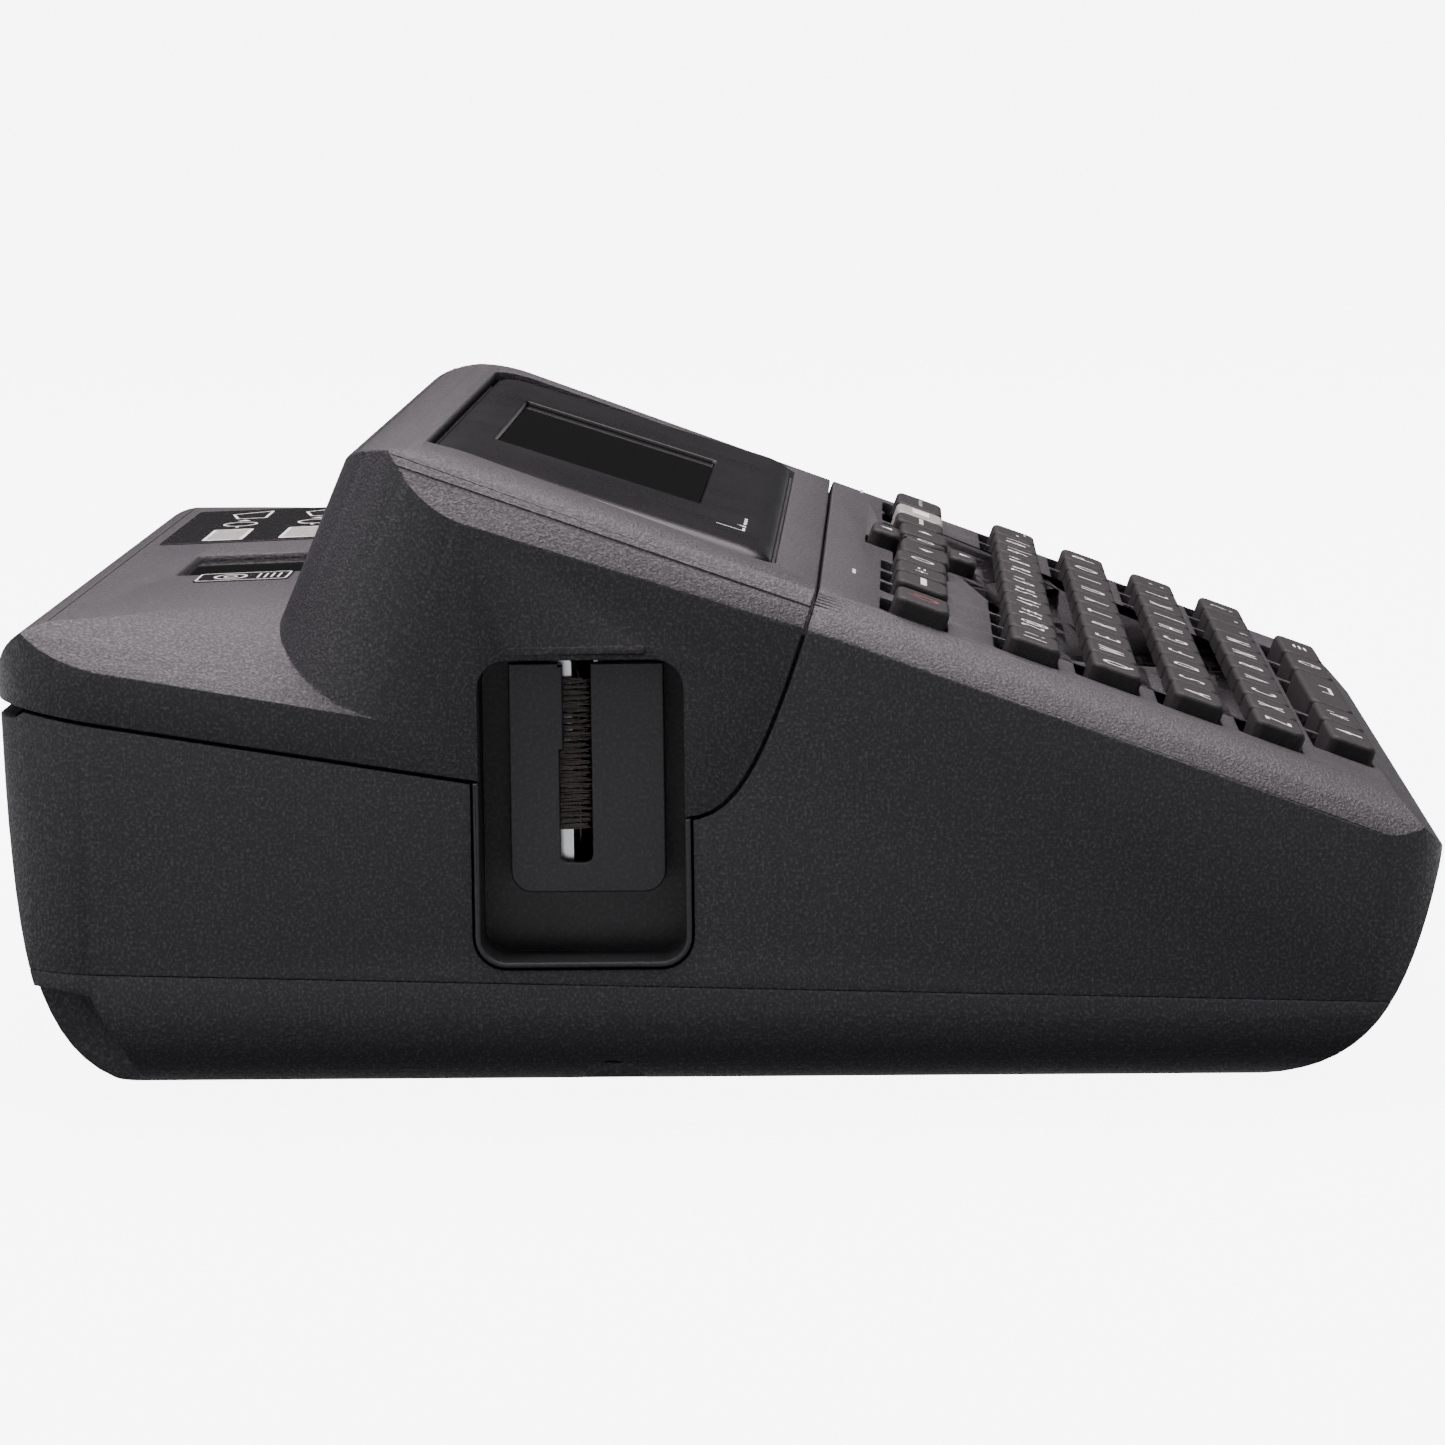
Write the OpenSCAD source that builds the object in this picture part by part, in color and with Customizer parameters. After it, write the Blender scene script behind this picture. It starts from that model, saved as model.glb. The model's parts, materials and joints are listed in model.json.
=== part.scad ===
// Desktop label maker: a keyboard housing on a bottom shell, with one large cover that carries
// the display hump and hinges at the rear edge. The tape leaves through a slot in the left side.
// X runs across the width, +Y to the rear, +Z up, with the origin under the middle of the feet.

/* [Body] */
// Width across the side walls
body_w = 192; // [190:1:195]
// Height of the bottom shell above the surface it stands on
foot_h = 1.5; // [1.2:0.1:1.8]
// Wall thickness of the moulded shells
wall = 2.2; // [1.8:0.1:2.6]
// Gap along the seam between the cover and the housing
seam_gap = 0.5; // [0.4:0.1:0.8]

/* [Keyboard] */
// Slope of the keyboard deck in degrees
deck_slope = 20.3; // [20:0.1:20.6]
// Height of the deck's plane over the origin
deck_h = 75.9; // [75.6:0.1:76.2]
// Distance from one number key to the next
number_pitch = 15.3; // [15:0.1:15.4]
// Distance from one letter key to the next
letter_pitch = 16.5; // [16.2:0.1:16.6]
// Space between neighbouring keys of a row
key_space = 1.4; // [1.2:0.1:2]
// Length of a key down the slope
key_len = 7.3; // [7:0.1:7.4]
// Distance from one key row to the next down the slope
row_pitch = 12.1; // [11.9:0.1:12.2]
// Height of the key tops over the deck
key_rise = 2.5; // [2:0.1:3]
// Clearance around a key in its hole
key_gap = 0.4; // [0.35:0.05:0.45]

/* [Display] */
// Width of the display window
window_w = 76; // [70:1:80]
// Slope of the display bezel in degrees
bezel_slope = 18.2; // [18:0.1:18.4]

/* [Tape path] */
// Front-to-back place of the tape and of the exit slot
tape_y = 19.2; // [19:0.1:19.4]
// Width of the exit slot
slot_w = 4.4; // [4.2:0.1:4.6]
// Radius of the rubber platen roller
platen_r = 5.4; // [5.2:0.1:5.4]

/* [Hidden] */
$fn = 48;
half_w = body_w / 2;
low_z = foot_h;
floor_z = foot_h + wall;
eps = 0.02;
far = 150;

// Height of the deck's plane at a front-to-back place
function deck_z(y) = deck_h + y * tan(deck_slope);
// Points along a cubic curve
function curve(a, b, c, d, n = 8) = [for (i = [0:n]) let (t = i / n, s = 1 - t)
    s * s * s * a + 3 * s * s * t * b + 3 * s * t * t * c + t * t * t * d];
// Points round an arc
function arc(x, y, r, a0, a1, n = 6) = [for (i = [0:n]) let (a = a0 + (a1 - a0) * i / n)
    [x + r * cos(a), y + r * sin(a)]];

// Landmarks of the side outline: front lip, deck front, hump, rear deck and rear rim
lip_y = -100;
lip_z = 34;
deck_front_y = -93.4;
hump_start_y = 34;
hump_edge = [51.2, 88.3];
hump_foot = [59.9, 67.9];
rear_deck_end = [92, 66.9];
rear_y = 100;
rim_z = 58;
side_outline = concat(
    curve([-68, low_z], [-90, low_z], [-95, 16], [lip_y, lip_z]),
    [[deck_front_y, deck_z(deck_front_y)]],
    curve([hump_start_y, deck_z(hump_start_y)], [40, 90.7], [48, 91.2], hump_edge, 6),
    [hump_foot],
    curve(rear_deck_end, [97, 66], [rear_y, 62], [rear_y, rim_z], 6),
    curve([99.2, 54], [97.5, 20], [95, low_z], [76, low_z]));

front_r = 10.3;
rear_r = 16;
plan_outline = concat(
    arc(half_w - rear_r, rear_y - rear_r, rear_r, 0, 90),
    arc(-half_w + rear_r, rear_y - rear_r, rear_r, 90, 180),
    arc(-half_w + front_r, lip_y + front_r, front_r, 180, 270),
    arc(half_w - front_r, lip_y + front_r, front_r, 270, 360));

// Cross-section: upright sides that turn in to the bottom
turn_z = 16;
cross_outline = concat(
    [[-half_w, far], [-half_w, turn_z]],
    curve([-half_w, turn_z], [-half_w, 7], [-half_w + 6, low_z], [-half_w + 16, low_z], 6),
    curve([half_w - 16, low_z], [half_w - 6, low_z], [half_w, 7], [half_w, turn_z], 6),
    [[half_w, far]]);

// Sloping deck: flat on top, with rounded shoulders down to the side walls
shoulder = [[12, 0], [5, 0.9], [1.5, 2.6], [0, 5]];
deck_section = concat(
    [[-half_w, -far]],
    [for (i = [3:-1:0]) [-half_w + shoulder[i][0], -shoulder[i][1]]],
    [for (i = [0:3]) [half_w - shoulder[i][0], -shoulder[i][1]]],
    [[half_w, -far]]);

// The hump's rear face leans forward, and its plan has round corners
lean = 22.9;
hump_r = 20;
hump_back = hump_foot[0] * cos(lean) + hump_foot[1] * sin(lean);
hump_plan = concat(
    [[half_w, -far]],
    arc(half_w - hump_r, hump_back - hump_r, hump_r, 0, 90),
    arc(-half_w + hump_r, hump_back - hump_r, hump_r, 90, 180),
    [[-half_w, -far]]);

// Rear deck: the side slopes fall to a soft edge that drops towards the hump
rear_edge_h = 45.7;
rear_edge_slope = 10;
rear_section = [[-half_w, -far], [-half_w, 0], [-half_w + 40, 23.6], [half_w - 40, 23.6],
    [half_w, 0], [half_w, -far]];

// Seam between the cover and the housing, from the rear rim to the deck
seam_line = concat(
    [[rear_y + 8, 57], [99.6, 55.9], [70, 51.2], [32.7, 45.2], [4.1, 40]],
    curve([4.1, 40], [-2.5, 40], [-6, 48], [-9.8, 58.1], 5),
    [[-15.9, 76]]);
cover_zone = concat(seam_line, [[-15.9, far], [rear_y + 8, far]]);

// Parting plane of the bottom shell
part_h = 16.3;
part_slope = 1.6;

// Hinge along the rear edge
hinge_y = 97.6;
hinge_z = 56.6;
pin_r = 1.2;
knuckle_r = 2.3;
knuckle_in = 44;
knuckle_out = 50;
ear = 5;

// Exit pocket in the left side
pocket_y0 = 4.1;
pocket_y1 = 32.3;
pocket_z0 = 20.1;
pocket_z1 = 61.7;
guide_x = -91.5;
slot_z0 = 33.2;

// Drive train: places of the turning parts
gear_z = 22;
gear_h = 5;
gear_module = 1;
platen_pos = [-68, tape_y - 0.2 - platen_r];
idler_teeth = 30;
platen_teeth = 14;
pinion_teeth = 12;
spindle_teeth = 18;
platen_dir = 200;
pinion_dir = -10;
spindle_dir = 75;
function mesh_dist(n) = gear_module * (idler_teeth + n) / 2;
idler_pos = platen_pos - mesh_dist(platen_teeth) * [cos(platen_dir), sin(platen_dir)];
pinion_pos = idler_pos + mesh_dist(pinion_teeth) * [cos(pinion_dir), sin(pinion_dir)];
spindle_pos = idler_pos + mesh_dist(spindle_teeth) * [cos(spindle_dir), sin(spindle_dir)];
// Turn of a gear that puts its gap on the idler's tooth
function mesh_turn(dir, n) = dir * (1 + idler_teeth / n) + 180 + 180 / n;
shaft_r = 1.5;
run_fit = 0.05;
plate_z = 28;
plate_t = 2;
head_pivot = [-76, 25];

// Cassette
case_x0 = -56;
case_x1 = 30;
case_y0 = 16;
case_y1 = 78;
case_z0 = 30.3;
case_z1 = 58.5;
roll_pos = [0, 48];
roll_r = 21;
tape_z0 = 34.3;
tape_z1 = 58.3;

// Battery bay for six cells
bay_x = 47;
bay_y0 = -72;
bay_y1 = -17;
bay_z = 19.4;
door_t = 1.8;
door_gap = 0.35;
door_hinge_gap = 1;
door_pin_r = 0.8;
door_axis = [bay_y0 + 1.8, low_z + 1.1];
bay_wall = 1.6;

// Screws, feet and legs
screw_x = 80;
screw_ys = [-50, 62];
foot_x = 68;
foot_ys = [-62, 66];
leg_spots = [[-70, 72], [60, 72], [60, 8], [-4, 8]];

// Keyboard: first row's rear edge down the slope, then each row's [middle, count, pitch]
first_row = -42.8;
letter_rows = [[0, 11, number_pitch], [1.5, 10, letter_pitch], [1.5, 10, letter_pitch],
    [3, 10, letter_pitch]];
bottom_row_s = first_row - 4 * row_pitch;
bottom_keys = [[-64, -45], [-43, -24], [-21.5, 17], [19.5, 40.5], [43, 65]];
bottom_len = 6.9;
function_s = -26;
function_len = 7.8;
function_keys = [[-62, -49], [-46.5, -33.5], [-31, -18], [31, 43.5], [46, 59], [61.5, 79]];
power_span = [-85.5, -71];
nav_x = 6.5;
nav_s = -30.5;
nav_arm = 21.5;
nav_reach = 8.4;
nav_w = 12;
ok_r = 3.2;
key_depth = 4;
mat_z = -6.4;
mat_t = 1;
board_t = 1.6;

module slab_x(x0, x1) {
    translate([x0, 0, 0]) rotate([90, 0, 90]) linear_extrude(x1 - x0) children();
}
module slab_y(y0, y1) {
    translate([0, y1, 0]) rotate([90, 0, 0]) linear_extrude(y1 - y0) children();
}
// A 2-D shape drawn in by t
module drawn_in(t) {
    if (t > 0) offset(delta = -t) children();
    else children();
}
// A box between two corners
module block(a, b) {
    translate(a) cube(b - a);
}
module post(x, y, z0, z1, r) {
    translate([x, y, z0]) cylinder(h = z1 - z0, r = r);
}
// A flat piece with round corners, centred in x and y
module soft_plate(w, d, h, r) {
    linear_extrude(h) {
        square([w - 2 * r, d], center = true);
        square([w, d - 2 * r], center = true);
        for (x = [-1, 1], y = [-1, 1]) translate([x * (w / 2 - r), y * (d / 2 - r)]) circle(r);
    }
}
// Places things on the sloping deck: s runs up the slope, n stands off the deck
module on_deck(x, s, n = 0) {
    translate([0, 0, deck_h]) rotate([deck_slope, 0, 0]) translate([x, s, n]) children();
}
module on_bezel(n = 0) {
    translate([0, 0, bezel_h]) rotate([bezel_slope, 0, 0]) translate([0, 0, n]) children();
}

// The body's outer form, drawn in by t
module envelope(t = 0) {
    intersection() {
        slab_x(-half_w + t, half_w - t) drawn_in(t) polygon(side_outline);
        translate([0, 0, -10]) linear_extrude(120) drawn_in(t) polygon(plan_outline);
        slab_y(-110, 110) drawn_in(t) polygon(cross_outline);
        union() {
            intersection() {
                translate([0, 0, deck_h]) rotate([deck_slope, 0, 0]) slab_y(-far, far)
                    drawn_in(t) polygon(deck_section);
                rotate([lean, 0, 0]) translate([0, 0, -far / 2]) linear_extrude(2 * far)
                    drawn_in(t) polygon(hump_plan);
            }
            translate([0, 0, rear_edge_h]) rotate([rear_edge_slope, 0, 0]) slab_y(-far, far)
                drawn_in(t) polygon(rear_section);
        }
    }
}
module skin() {
    difference() {
        envelope(0);
        envelope(wall);
    }
}
module below_parting() {
    translate([0, 0, part_h]) rotate([part_slope, 0, 0]) block([-far, -far, -far], [far, far, 0]);
}
module pocket_cut() {
    slab_x(-half_w - 5, -half_w + 4) translate([pocket_y0, pocket_z0])
        square([pocket_y1 - pocket_y0, pocket_z1 - pocket_z0]);
}

module base_shell() {
    color("#2b2b2f") difference() {
        union() {
            intersection() {
                skin();
                below_parting();
            }
            block([-bay_x - bay_wall, bay_y0 - bay_wall, low_z + 0.5],
                [bay_x + bay_wall, bay_y1 + bay_wall, bay_z + bay_wall]);
            intersection() {
                for (x = [-1, 1], y = screw_ys) post(x * screw_x, y, low_z + 0.5, 30, 4);
                below_parting();
            }
        }
        block([-bay_x, bay_y0, -1], [bay_x, bay_y1, bay_z]);
        door_pins(1.3, door_pin_r + run_fit);
        for (x = [-1, 1], y = screw_ys) {
            post(x * screw_x, y, -1, 30, 1.6);
            post(x * screw_x, y, -1, low_z + 2.2, 3.2);
        }
        for (x = [-1, 1], y = foot_ys) post(x * foot_x, y, -1, low_z + 0.8, 6.2);
        // Finger recess at the lower left edge and sockets at the rear
        translate([-half_w - 1, 14.7, 1.4]) rotate([0, 90, 0]) cylinder(h = 12, r = 4.4);
        block([19.5, 85, 9], [28.5, 105, 14.2]);
        translate([45, 85, 14]) rotate([-90, 0, 0]) cylinder(h = 20, r = 4.2);
    }
}

// Rows of key holes through the deck
module key_holes() {
    for (i = [0:3]) row_shape(i, key_gap, -8, 5);
    for (k = bottom_keys) span_key(k, bottom_row_s, bottom_len, key_gap, -8, 5);
    for (k = function_keys) span_key(k, function_s, function_len, key_gap, -8, 5);
    span_key(power_span, function_s, function_len, key_gap, -8, 5);
    nav_shape(key_gap, -8, 5);
}
// One key: x span, rear edge on the slope, length, grown by g, from n0 to n1 off the deck
module span_key(k, s, len, g, n0, n1) {
    on_deck((k[0] + k[1]) / 2, s - len / 2, n0)
        soft_plate(k[1] - k[0] + 2 * g, len + 2 * g, n1 - n0, 1 + g);
}
module row_shape(i, g, n0, n1) {
    row = letter_rows[i];
    half_key = (row[2] - key_space) / 2;
    for (j = [0:row[1] - 1]) {
        x = row[0] + (j - (row[1] - 1) / 2) * row[2];
        span_key([x - half_key, x + half_key], first_row - i * row_pitch, key_len, g, n0, n1);
    }
}
module nav_shape(g, n0, n1) {
    on_deck(nav_x, nav_s, n0) {
        soft_plate(2 * nav_arm + 2 * g, function_len + 2 * g, n1 - n0, 1 + g);
        soft_plate(nav_w + 2 * g, 2 * nav_reach + 2 * g, n1 - n0, 1 + g);
    }
}

module upper_housing() {
    color("#303035") {
        difference() {
            union() {
                difference() {
                    skin();
                    below_parting();
                    slab_x(-far, far) offset(delta = seam_gap) polygon(cover_zone);
                }
                difference() {
                    for (x = [-1, 1], y = screw_ys) {
                        post(x * screw_x, y, 10, 32, 4);
                        block([x * (screw_x + 7) - 7, y - 1, 10], [x * (screw_x + 7) + 7, y + 1, 30]);
                    }
                    below_parting();
                }
                for (x = [-86.6, 86.6], s = [-84, -34]) on_deck(x, s, mat_z - 0.6) cylinder(h = 5, r = 2);
            }
            pocket_cut();
            key_holes();
            for (x = [-1, 1], y = screw_ys) post(x * screw_x, y, 10, 28, 1.2);
            translate([-far, hinge_y, hinge_z]) rotate([0, 90, 0]) cylinder(h = 2 * far, r = 3);
        }
        for (x = [knuckle_in - ear - 0.4, knuckle_out + 0.4]) for (side = [0, 1]) mirror([side, 0, 0])
            housing_ear(x);
    }
}
module housing_ear(x) {
    difference() {
        union() {
            translate([x, hinge_y, hinge_z]) rotate([0, 90, 0]) cylinder(h = ear, r = knuckle_r);
            block([x, hinge_y - 1.4, 50], [x + ear, hinge_y + 1.2, hinge_z]);
        }
        translate([x - 1, hinge_y, hinge_z]) rotate([0, 90, 0]) cylinder(h = ear + 2, r = pin_r);
    }
}
module hinge_pins() {
    color("silver") for (side = [0, 1]) mirror([side, 0, 0])
        translate([knuckle_in - ear - 0.4, hinge_y, hinge_z]) rotate([0, 90, 0])
            cylinder(h = knuckle_out - knuckle_in + 2 * ear + 0.8, r = pin_r);
}

// Bezel outline in its own sloping plane, grown by g
bezel_h = 76.75;
bezel_front = -8.6;
bezel_back = 41.9;
bezel_front_w = 158;
bezel_back_w = 149;
bezel_t = 2.4;
module bezel_shape(g, h) {
    linear_extrude(h) polygon([[-bezel_front_w / 2 - g, bezel_front - g],
        [bezel_front_w / 2 + g, bezel_front - g],
        [bezel_back_w / 2 + g, bezel_back + g], [-bezel_back_w / 2 - g, bezel_back + g]]);
}
window_s0 = 3.7;
window_s1 = 34.7;
deck_label_n = 0.2;
// Frame of the rear deck's gentle fall, with its origin at the hump's foot
rear_fall = atan2(hump_foot[1] - rear_deck_end[1], rear_deck_end[0] - hump_foot[0]);
module on_rear_deck(x, y, n) {
    translate([0, hump_foot[0], hump_foot[1]]) rotate([-rear_fall, 0, 0]) translate([x, y, n]) children();
}
glass_x0 = -30;
glass_x1 = 0;
glass_y0 = 3;
glass_y1 = 21;
glass_rim = 1.5;

module cover_shell() {
    color("#34343a") difference() {
        union() {
            intersection() {
                skin();
                slab_x(-far, far) polygon(cover_zone);
            }
            // Ledges that hold the bezel and the window from below
            intersection() {
                on_bezel(-bezel_t - 1.6) difference() {
                    bezel_shape(1.5, 1.6);
                    translate([0, 0, -1]) bezel_shape(-5, 4);
                }
                envelope(0.4);
            }
            on_rear_deck(0, 0, -4) difference() {
                block([glass_x0 - 3, glass_y0 - 1.5, 0], [glass_x1 + 3, glass_y1 + 3, 3]);
                block([glass_x0 + glass_rim, glass_y0 + glass_rim, -1],
                    [glass_x1 - glass_rim, glass_y1 - glass_rim, 4]);
            }
            for (side = [0, 1]) mirror([side, 0, 0])
                translate([knuckle_in, hinge_y, hinge_z]) rotate([0, 90, 0])
                    cylinder(h = knuckle_out - knuckle_in, r = knuckle_r);
        }
        on_bezel(-bezel_t) bezel_shape(0.4, 12);
        on_bezel(-12) bezel_shape(-5, 12);
        on_rear_deck(0, 0, -1.8) block([glass_x0, glass_y0, 0], [glass_x1, glass_y1, 6]);
        on_rear_deck(0, 0, -6) block([glass_x0 + glass_rim, glass_y0 + glass_rim, 0],
            [glass_x1 - glass_rim, glass_y1 - glass_rim, 6]);
        pocket_cut();
        for (side = [0, 1]) mirror([side, 0, 0]) {
            for (x = [knuckle_in - ear - 0.8, knuckle_out]) translate([x, hinge_y, hinge_z])
                rotate([0, 90, 0]) cylinder(h = ear + 0.8, r = knuckle_r + 0.5);
            translate([knuckle_in - 1, hinge_y, hinge_z]) rotate([0, 90, 0])
                cylinder(h = knuckle_out - knuckle_in + 2, r = pin_r + run_fit);
        }
    }
}
module display_bezel() {
    color("#26262a") on_bezel(-bezel_t) difference() {
        bezel_shape(0, bezel_t);
        translate([-window_w / 2, window_s0, -1]) cube([window_w, window_s1 - window_s0, 8]);
    }
}
module display_lens() {
    color("#141418") on_bezel(-bezel_t)
        translate([-window_w / 2, window_s0, 0]) cube([window_w, window_s1 - window_s0, bezel_t - 0.8]);
}
module lcd_panel() {
    color("#6d7466") on_bezel(-bezel_t - 5) block([-44, 0, 0], [44, 36, 4.8]);
}
module display_board() {
    color("#1f5b3a") on_bezel(-bezel_t - 7) block([-60, -3, 0], [60, 38, 1.6]);
}
module cassette_window() {
    color("#0c0c0e") on_rear_deck(0, 0, -1.8)
        block([glass_x0 + 0.1, glass_y0 + 0.1, 0], [glass_x1 - 0.1, glass_y1 - 0.1, 1.2]);
}
module instruction_label() {
    color("#0d0d0f") on_rear_deck(48, 17, 0) soft_plate(56, 26, deck_label_n, 1);
}
module window_sticker() {
    color("#3a3a3e") on_rear_deck(-36.5, 10.5, 0) soft_plate(11, 14, deck_label_n, 1);
}

// Lining of the exit pocket: a tray open to the left, with a slot for the tape in its back
module exit_pocket() {
    color("#232327") difference() {
        block([-half_w + wall + 0.3, pocket_y0 - 1, pocket_z0 - 1.2], [-84.5, pocket_y1 + 1, pocket_z1 + 1]);
        block([-far, pocket_y0 + 0.5, pocket_z0 + 0.5], [-86, pocket_y1 - 0.5, pocket_z1 - 0.6]);
        block([-87, tape_y - 3, slot_z0 - 1], [-84, tape_y + 3, pocket_z1 - 0.6]);
    }
}
module exit_guide() {
    color("#2c2c30") difference() {
        union() {
            slab_x(guide_x, guide_x + 1.5) translate([6.9, 29.1]) square([21.4, pocket_z1 - 0.8 - 29.1]);
            for (y = [7.9, 25.3]) block([guide_x + 1, y, 31], [-86, y + 2, 58]);
        }
        block([-far, tape_y - slot_w / 2, slot_z0], [-80, tape_y + slot_w / 2, far]);
    }
}
// Anti-static brush behind the slot
module brush_strip() {
    color("#141416") block([guide_x + 1.7, tape_y - 5.2, 37.5], [guide_x + 2.7, tape_y - 0.4, 58]);
}
module cutter_blade() {
    color("silver") difference() {
        block([-81.3, 9, 31], [-80.5, 17, 61]);
        translate([-82, 17, 31 + eps]) rotate([0, 0, 12]) cube([4, 4, 40]);
    }
}
module cutter_carriage() {
    color("#55565b") block([-80.5, 9, 31.5], [-76.5, 13, 50]);
}
module fixed_blade() {
    color("silver") block([-82.6, 22, 30], [-81.6, 28, 61]);
}
module head_arm() {
    color("#8d9096") difference() {
        union() {
            block([-76, 21.7, 32], [-62, 24.7, 60]);
            post(head_pivot[0], head_pivot[1], 32, 60, 2.8);
        }
        post(head_pivot[0], head_pivot[1], 20, 80, shaft_r + run_fit);
    }
}
module print_head() {
    color("#d8d2c0") block([-73, 19.7, 33.5], [-63, 21.7, 59.5]);
}
module platen_roller() {
    color("#1b1b1d") {
        post(platen_pos[0], platen_pos[1], 33, 60, platen_r);
        post(platen_pos[0], platen_pos[1], gear_z + gear_h, 62, shaft_r);
    }
}

// Spur gear from straight-sided teeth with backlash
module gear(n, h, turn) {
    r = gear_module * n / 2;
    root = r - 1.15;
    linear_extrude(h) rotate(turn) {
        circle(root);
        for (i = [0:n - 1]) rotate(i * 360 / n) polygon([[root - 0.4, -0.95], [root, -0.95], [r, -0.6],
            [r + 0.8, -0.3], [r + 0.8, 0.3], [r, 0.6], [root, 0.95], [root - 0.4, 0.95]]);
    }
}
module gear_at(p, n, turn) {
    translate([p[0], p[1], gear_z]) gear(n, gear_h, turn);
}
module platen_gear() {
    color("white") difference() {
        gear_at(platen_pos, platen_teeth, mesh_turn(platen_dir, platen_teeth));
        post(platen_pos[0], platen_pos[1], gear_z - 1, gear_z + 3, shaft_r);
    }
}
module idler_gear() {
    color("white") difference() {
        gear_at(idler_pos, idler_teeth, 0);
        post(idler_pos[0], idler_pos[1], 0, 60, shaft_r + run_fit);
    }
}
module motor_pinion() {
    color("gold") {
        gear_at(pinion_pos, pinion_teeth, mesh_turn(pinion_dir, pinion_teeth));
        post(pinion_pos[0], pinion_pos[1], 14, gear_z + 1, 1);
    }
}
module drive_motor() {
    color("#777a80") difference() {
        union() {
            post(pinion_pos[0], pinion_pos[1], floor_z + 0.1, 19, 17.5);
            post(pinion_pos[0], pinion_pos[1], 18, 20.6, 4);
        }
        post(pinion_pos[0], pinion_pos[1], 13, 30, 1 + run_fit);
    }
}
module drive_spindle() {
    color("white") {
        gear_at(spindle_pos, spindle_teeth, mesh_turn(spindle_dir, spindle_teeth));
        post(spindle_pos[0], spindle_pos[1], gear_z + 1, 54, 2);
    }
}
module ribbon_spool() {
    color("#1a1a1c") difference() {
        post(spindle_pos[0], spindle_pos[1], 33, 56, 8);
        post(spindle_pos[0], spindle_pos[1], 30, 57, 2);
    }
}
module tape_roll() {
    color("#e9e6df") difference() {
        post(roll_pos[0], roll_pos[1], tape_z0, tape_z1 - 0.6, roll_r);
        post(roll_pos[0], roll_pos[1], 30, 60, 6.05);
    }
}
module label_tape() {
    color("#f1efe9") block([-79, tape_y, tape_z0], [case_x0 + 0.3, tape_y + 0.2, tape_z1]);
}
module cassette_case() {
    color("#d9d6cd") {
        difference() {
            block([case_x0, case_y0, case_z0], [case_x1, case_y1, case_z1]);
            block([case_x0 + 1.5, case_y0 + 1.5, case_z0 + 1.5], [case_x1 - 1.5, case_y1 - 1.5, case_z1 + 1]);
            post(spindle_pos[0], spindle_pos[1], 20, 50, 3.5);
            block([case_x0 - 1, tape_y - 1, tape_z0 - 0.5], [case_x0 + 2, tape_y + 1.2, case_z1 + 1]);
        }
        post(roll_pos[0], roll_pos[1], case_z0 + 1, case_z1 - 2, 6);
    }
}
module cassette_lid() {
    color("#c9c6bd") block([case_x0, case_y0, case_z1], [case_x1, case_y1, case_z1 + 2]);
}
module chassis_plate() {
    color("#9a9da3") difference() {
        union() {
            block([-74, 4.5, plate_z], [64, 84, plate_z + plate_t]);
            block([-83.4, 7, plate_z], [-73, 31, plate_z + plate_t]);
            for (p = leg_spots) post(p[0], p[1], floor_z, plate_z + 1, 3);
        }
        post(platen_pos[0], platen_pos[1], 10, 60, shaft_r + run_fit);
        post(spindle_pos[0], spindle_pos[1], 10, 60, 2 + run_fit);
        for (p = [idler_pos, head_pivot]) post(p[0], p[1], 10, 60, shaft_r);
    }
}
// Fixed pins that the idler and the head arm turn on
module shaft_pins() {
    color("silver") {
        post(idler_pos[0], idler_pos[1], gear_z - 1, plate_z + plate_t, shaft_r);
        post(head_pivot[0], head_pivot[1], plate_z, 61, shaft_r);
    }
}
module main_board() {
    color("#1f5b3a") block([-64, 40, 8], [56, 84, 9.6]);
}
module usb_socket() {
    color("silver") difference() {
        block([20, 80, 9.6], [28, 89.8, 13.6]);
        block([20.6, 84, 10.2], [27.4, 99, 13]);
    }
}
module dc_jack() {
    color("#18181a") {
        difference() {
            block([40.5, 78, 9.6], [49.5, 87.8, 17.5]);
            translate([45, 83, 14]) rotate([-90, 0, 0]) cylinder(h = 20, r = 2.9);
        }
        translate([45, 82, 14]) rotate([-90, 0, 0]) cylinder(h = 8, r = 0.9);
    }
}

module keyboard_board() {
    color("#1f5b3a") on_deck(0, 0, mat_z - mat_t - board_t) block([-88, -99, 0], [88, -20.5, board_t]);
}
module key_mat() {
    color("#3b3b40") on_deck(0, 0, mat_z - mat_t) block([-84, -98.5, 0], [84, -21, mat_t]);
}
module letter_row(i) {
    color("#3b3a3d") row_shape(i, 0, -key_depth, key_rise);
}
module wide_key(k) {
    color("#3b3a3d") span_key(k, bottom_row_s, bottom_len, 0, -key_depth, key_rise);
}
module function_key(k) {
    color("#3b3a3d") span_key(k, function_s, function_len, 0, -key_depth, key_rise);
}
module key_row_1() { letter_row(0); }
module key_row_2() { letter_row(1); }
module key_row_3() { letter_row(2); }
module key_row_4() { letter_row(3); }
module shift_key() { wide_key(bottom_keys[0]); }
module accent_key() { wide_key(bottom_keys[1]); }
module space_bar() { wide_key(bottom_keys[2]); }
module symbol_key() { wide_key(bottom_keys[3]); }
module mode_key() { wide_key(bottom_keys[4]); }
module power_key() { function_key(power_span); }
module function_key_1() { function_key(function_keys[0]); }
module function_key_2() { function_key(function_keys[1]); }
module function_key_3() { function_key(function_keys[2]); }
module function_key_4() { function_key(function_keys[3]); }
module print_key() {
    color("#8c8a88") span_key(function_keys[4], function_s, function_len, 0, -key_depth, key_rise);
}
module clear_key() { function_key(function_keys[5]); }
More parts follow.
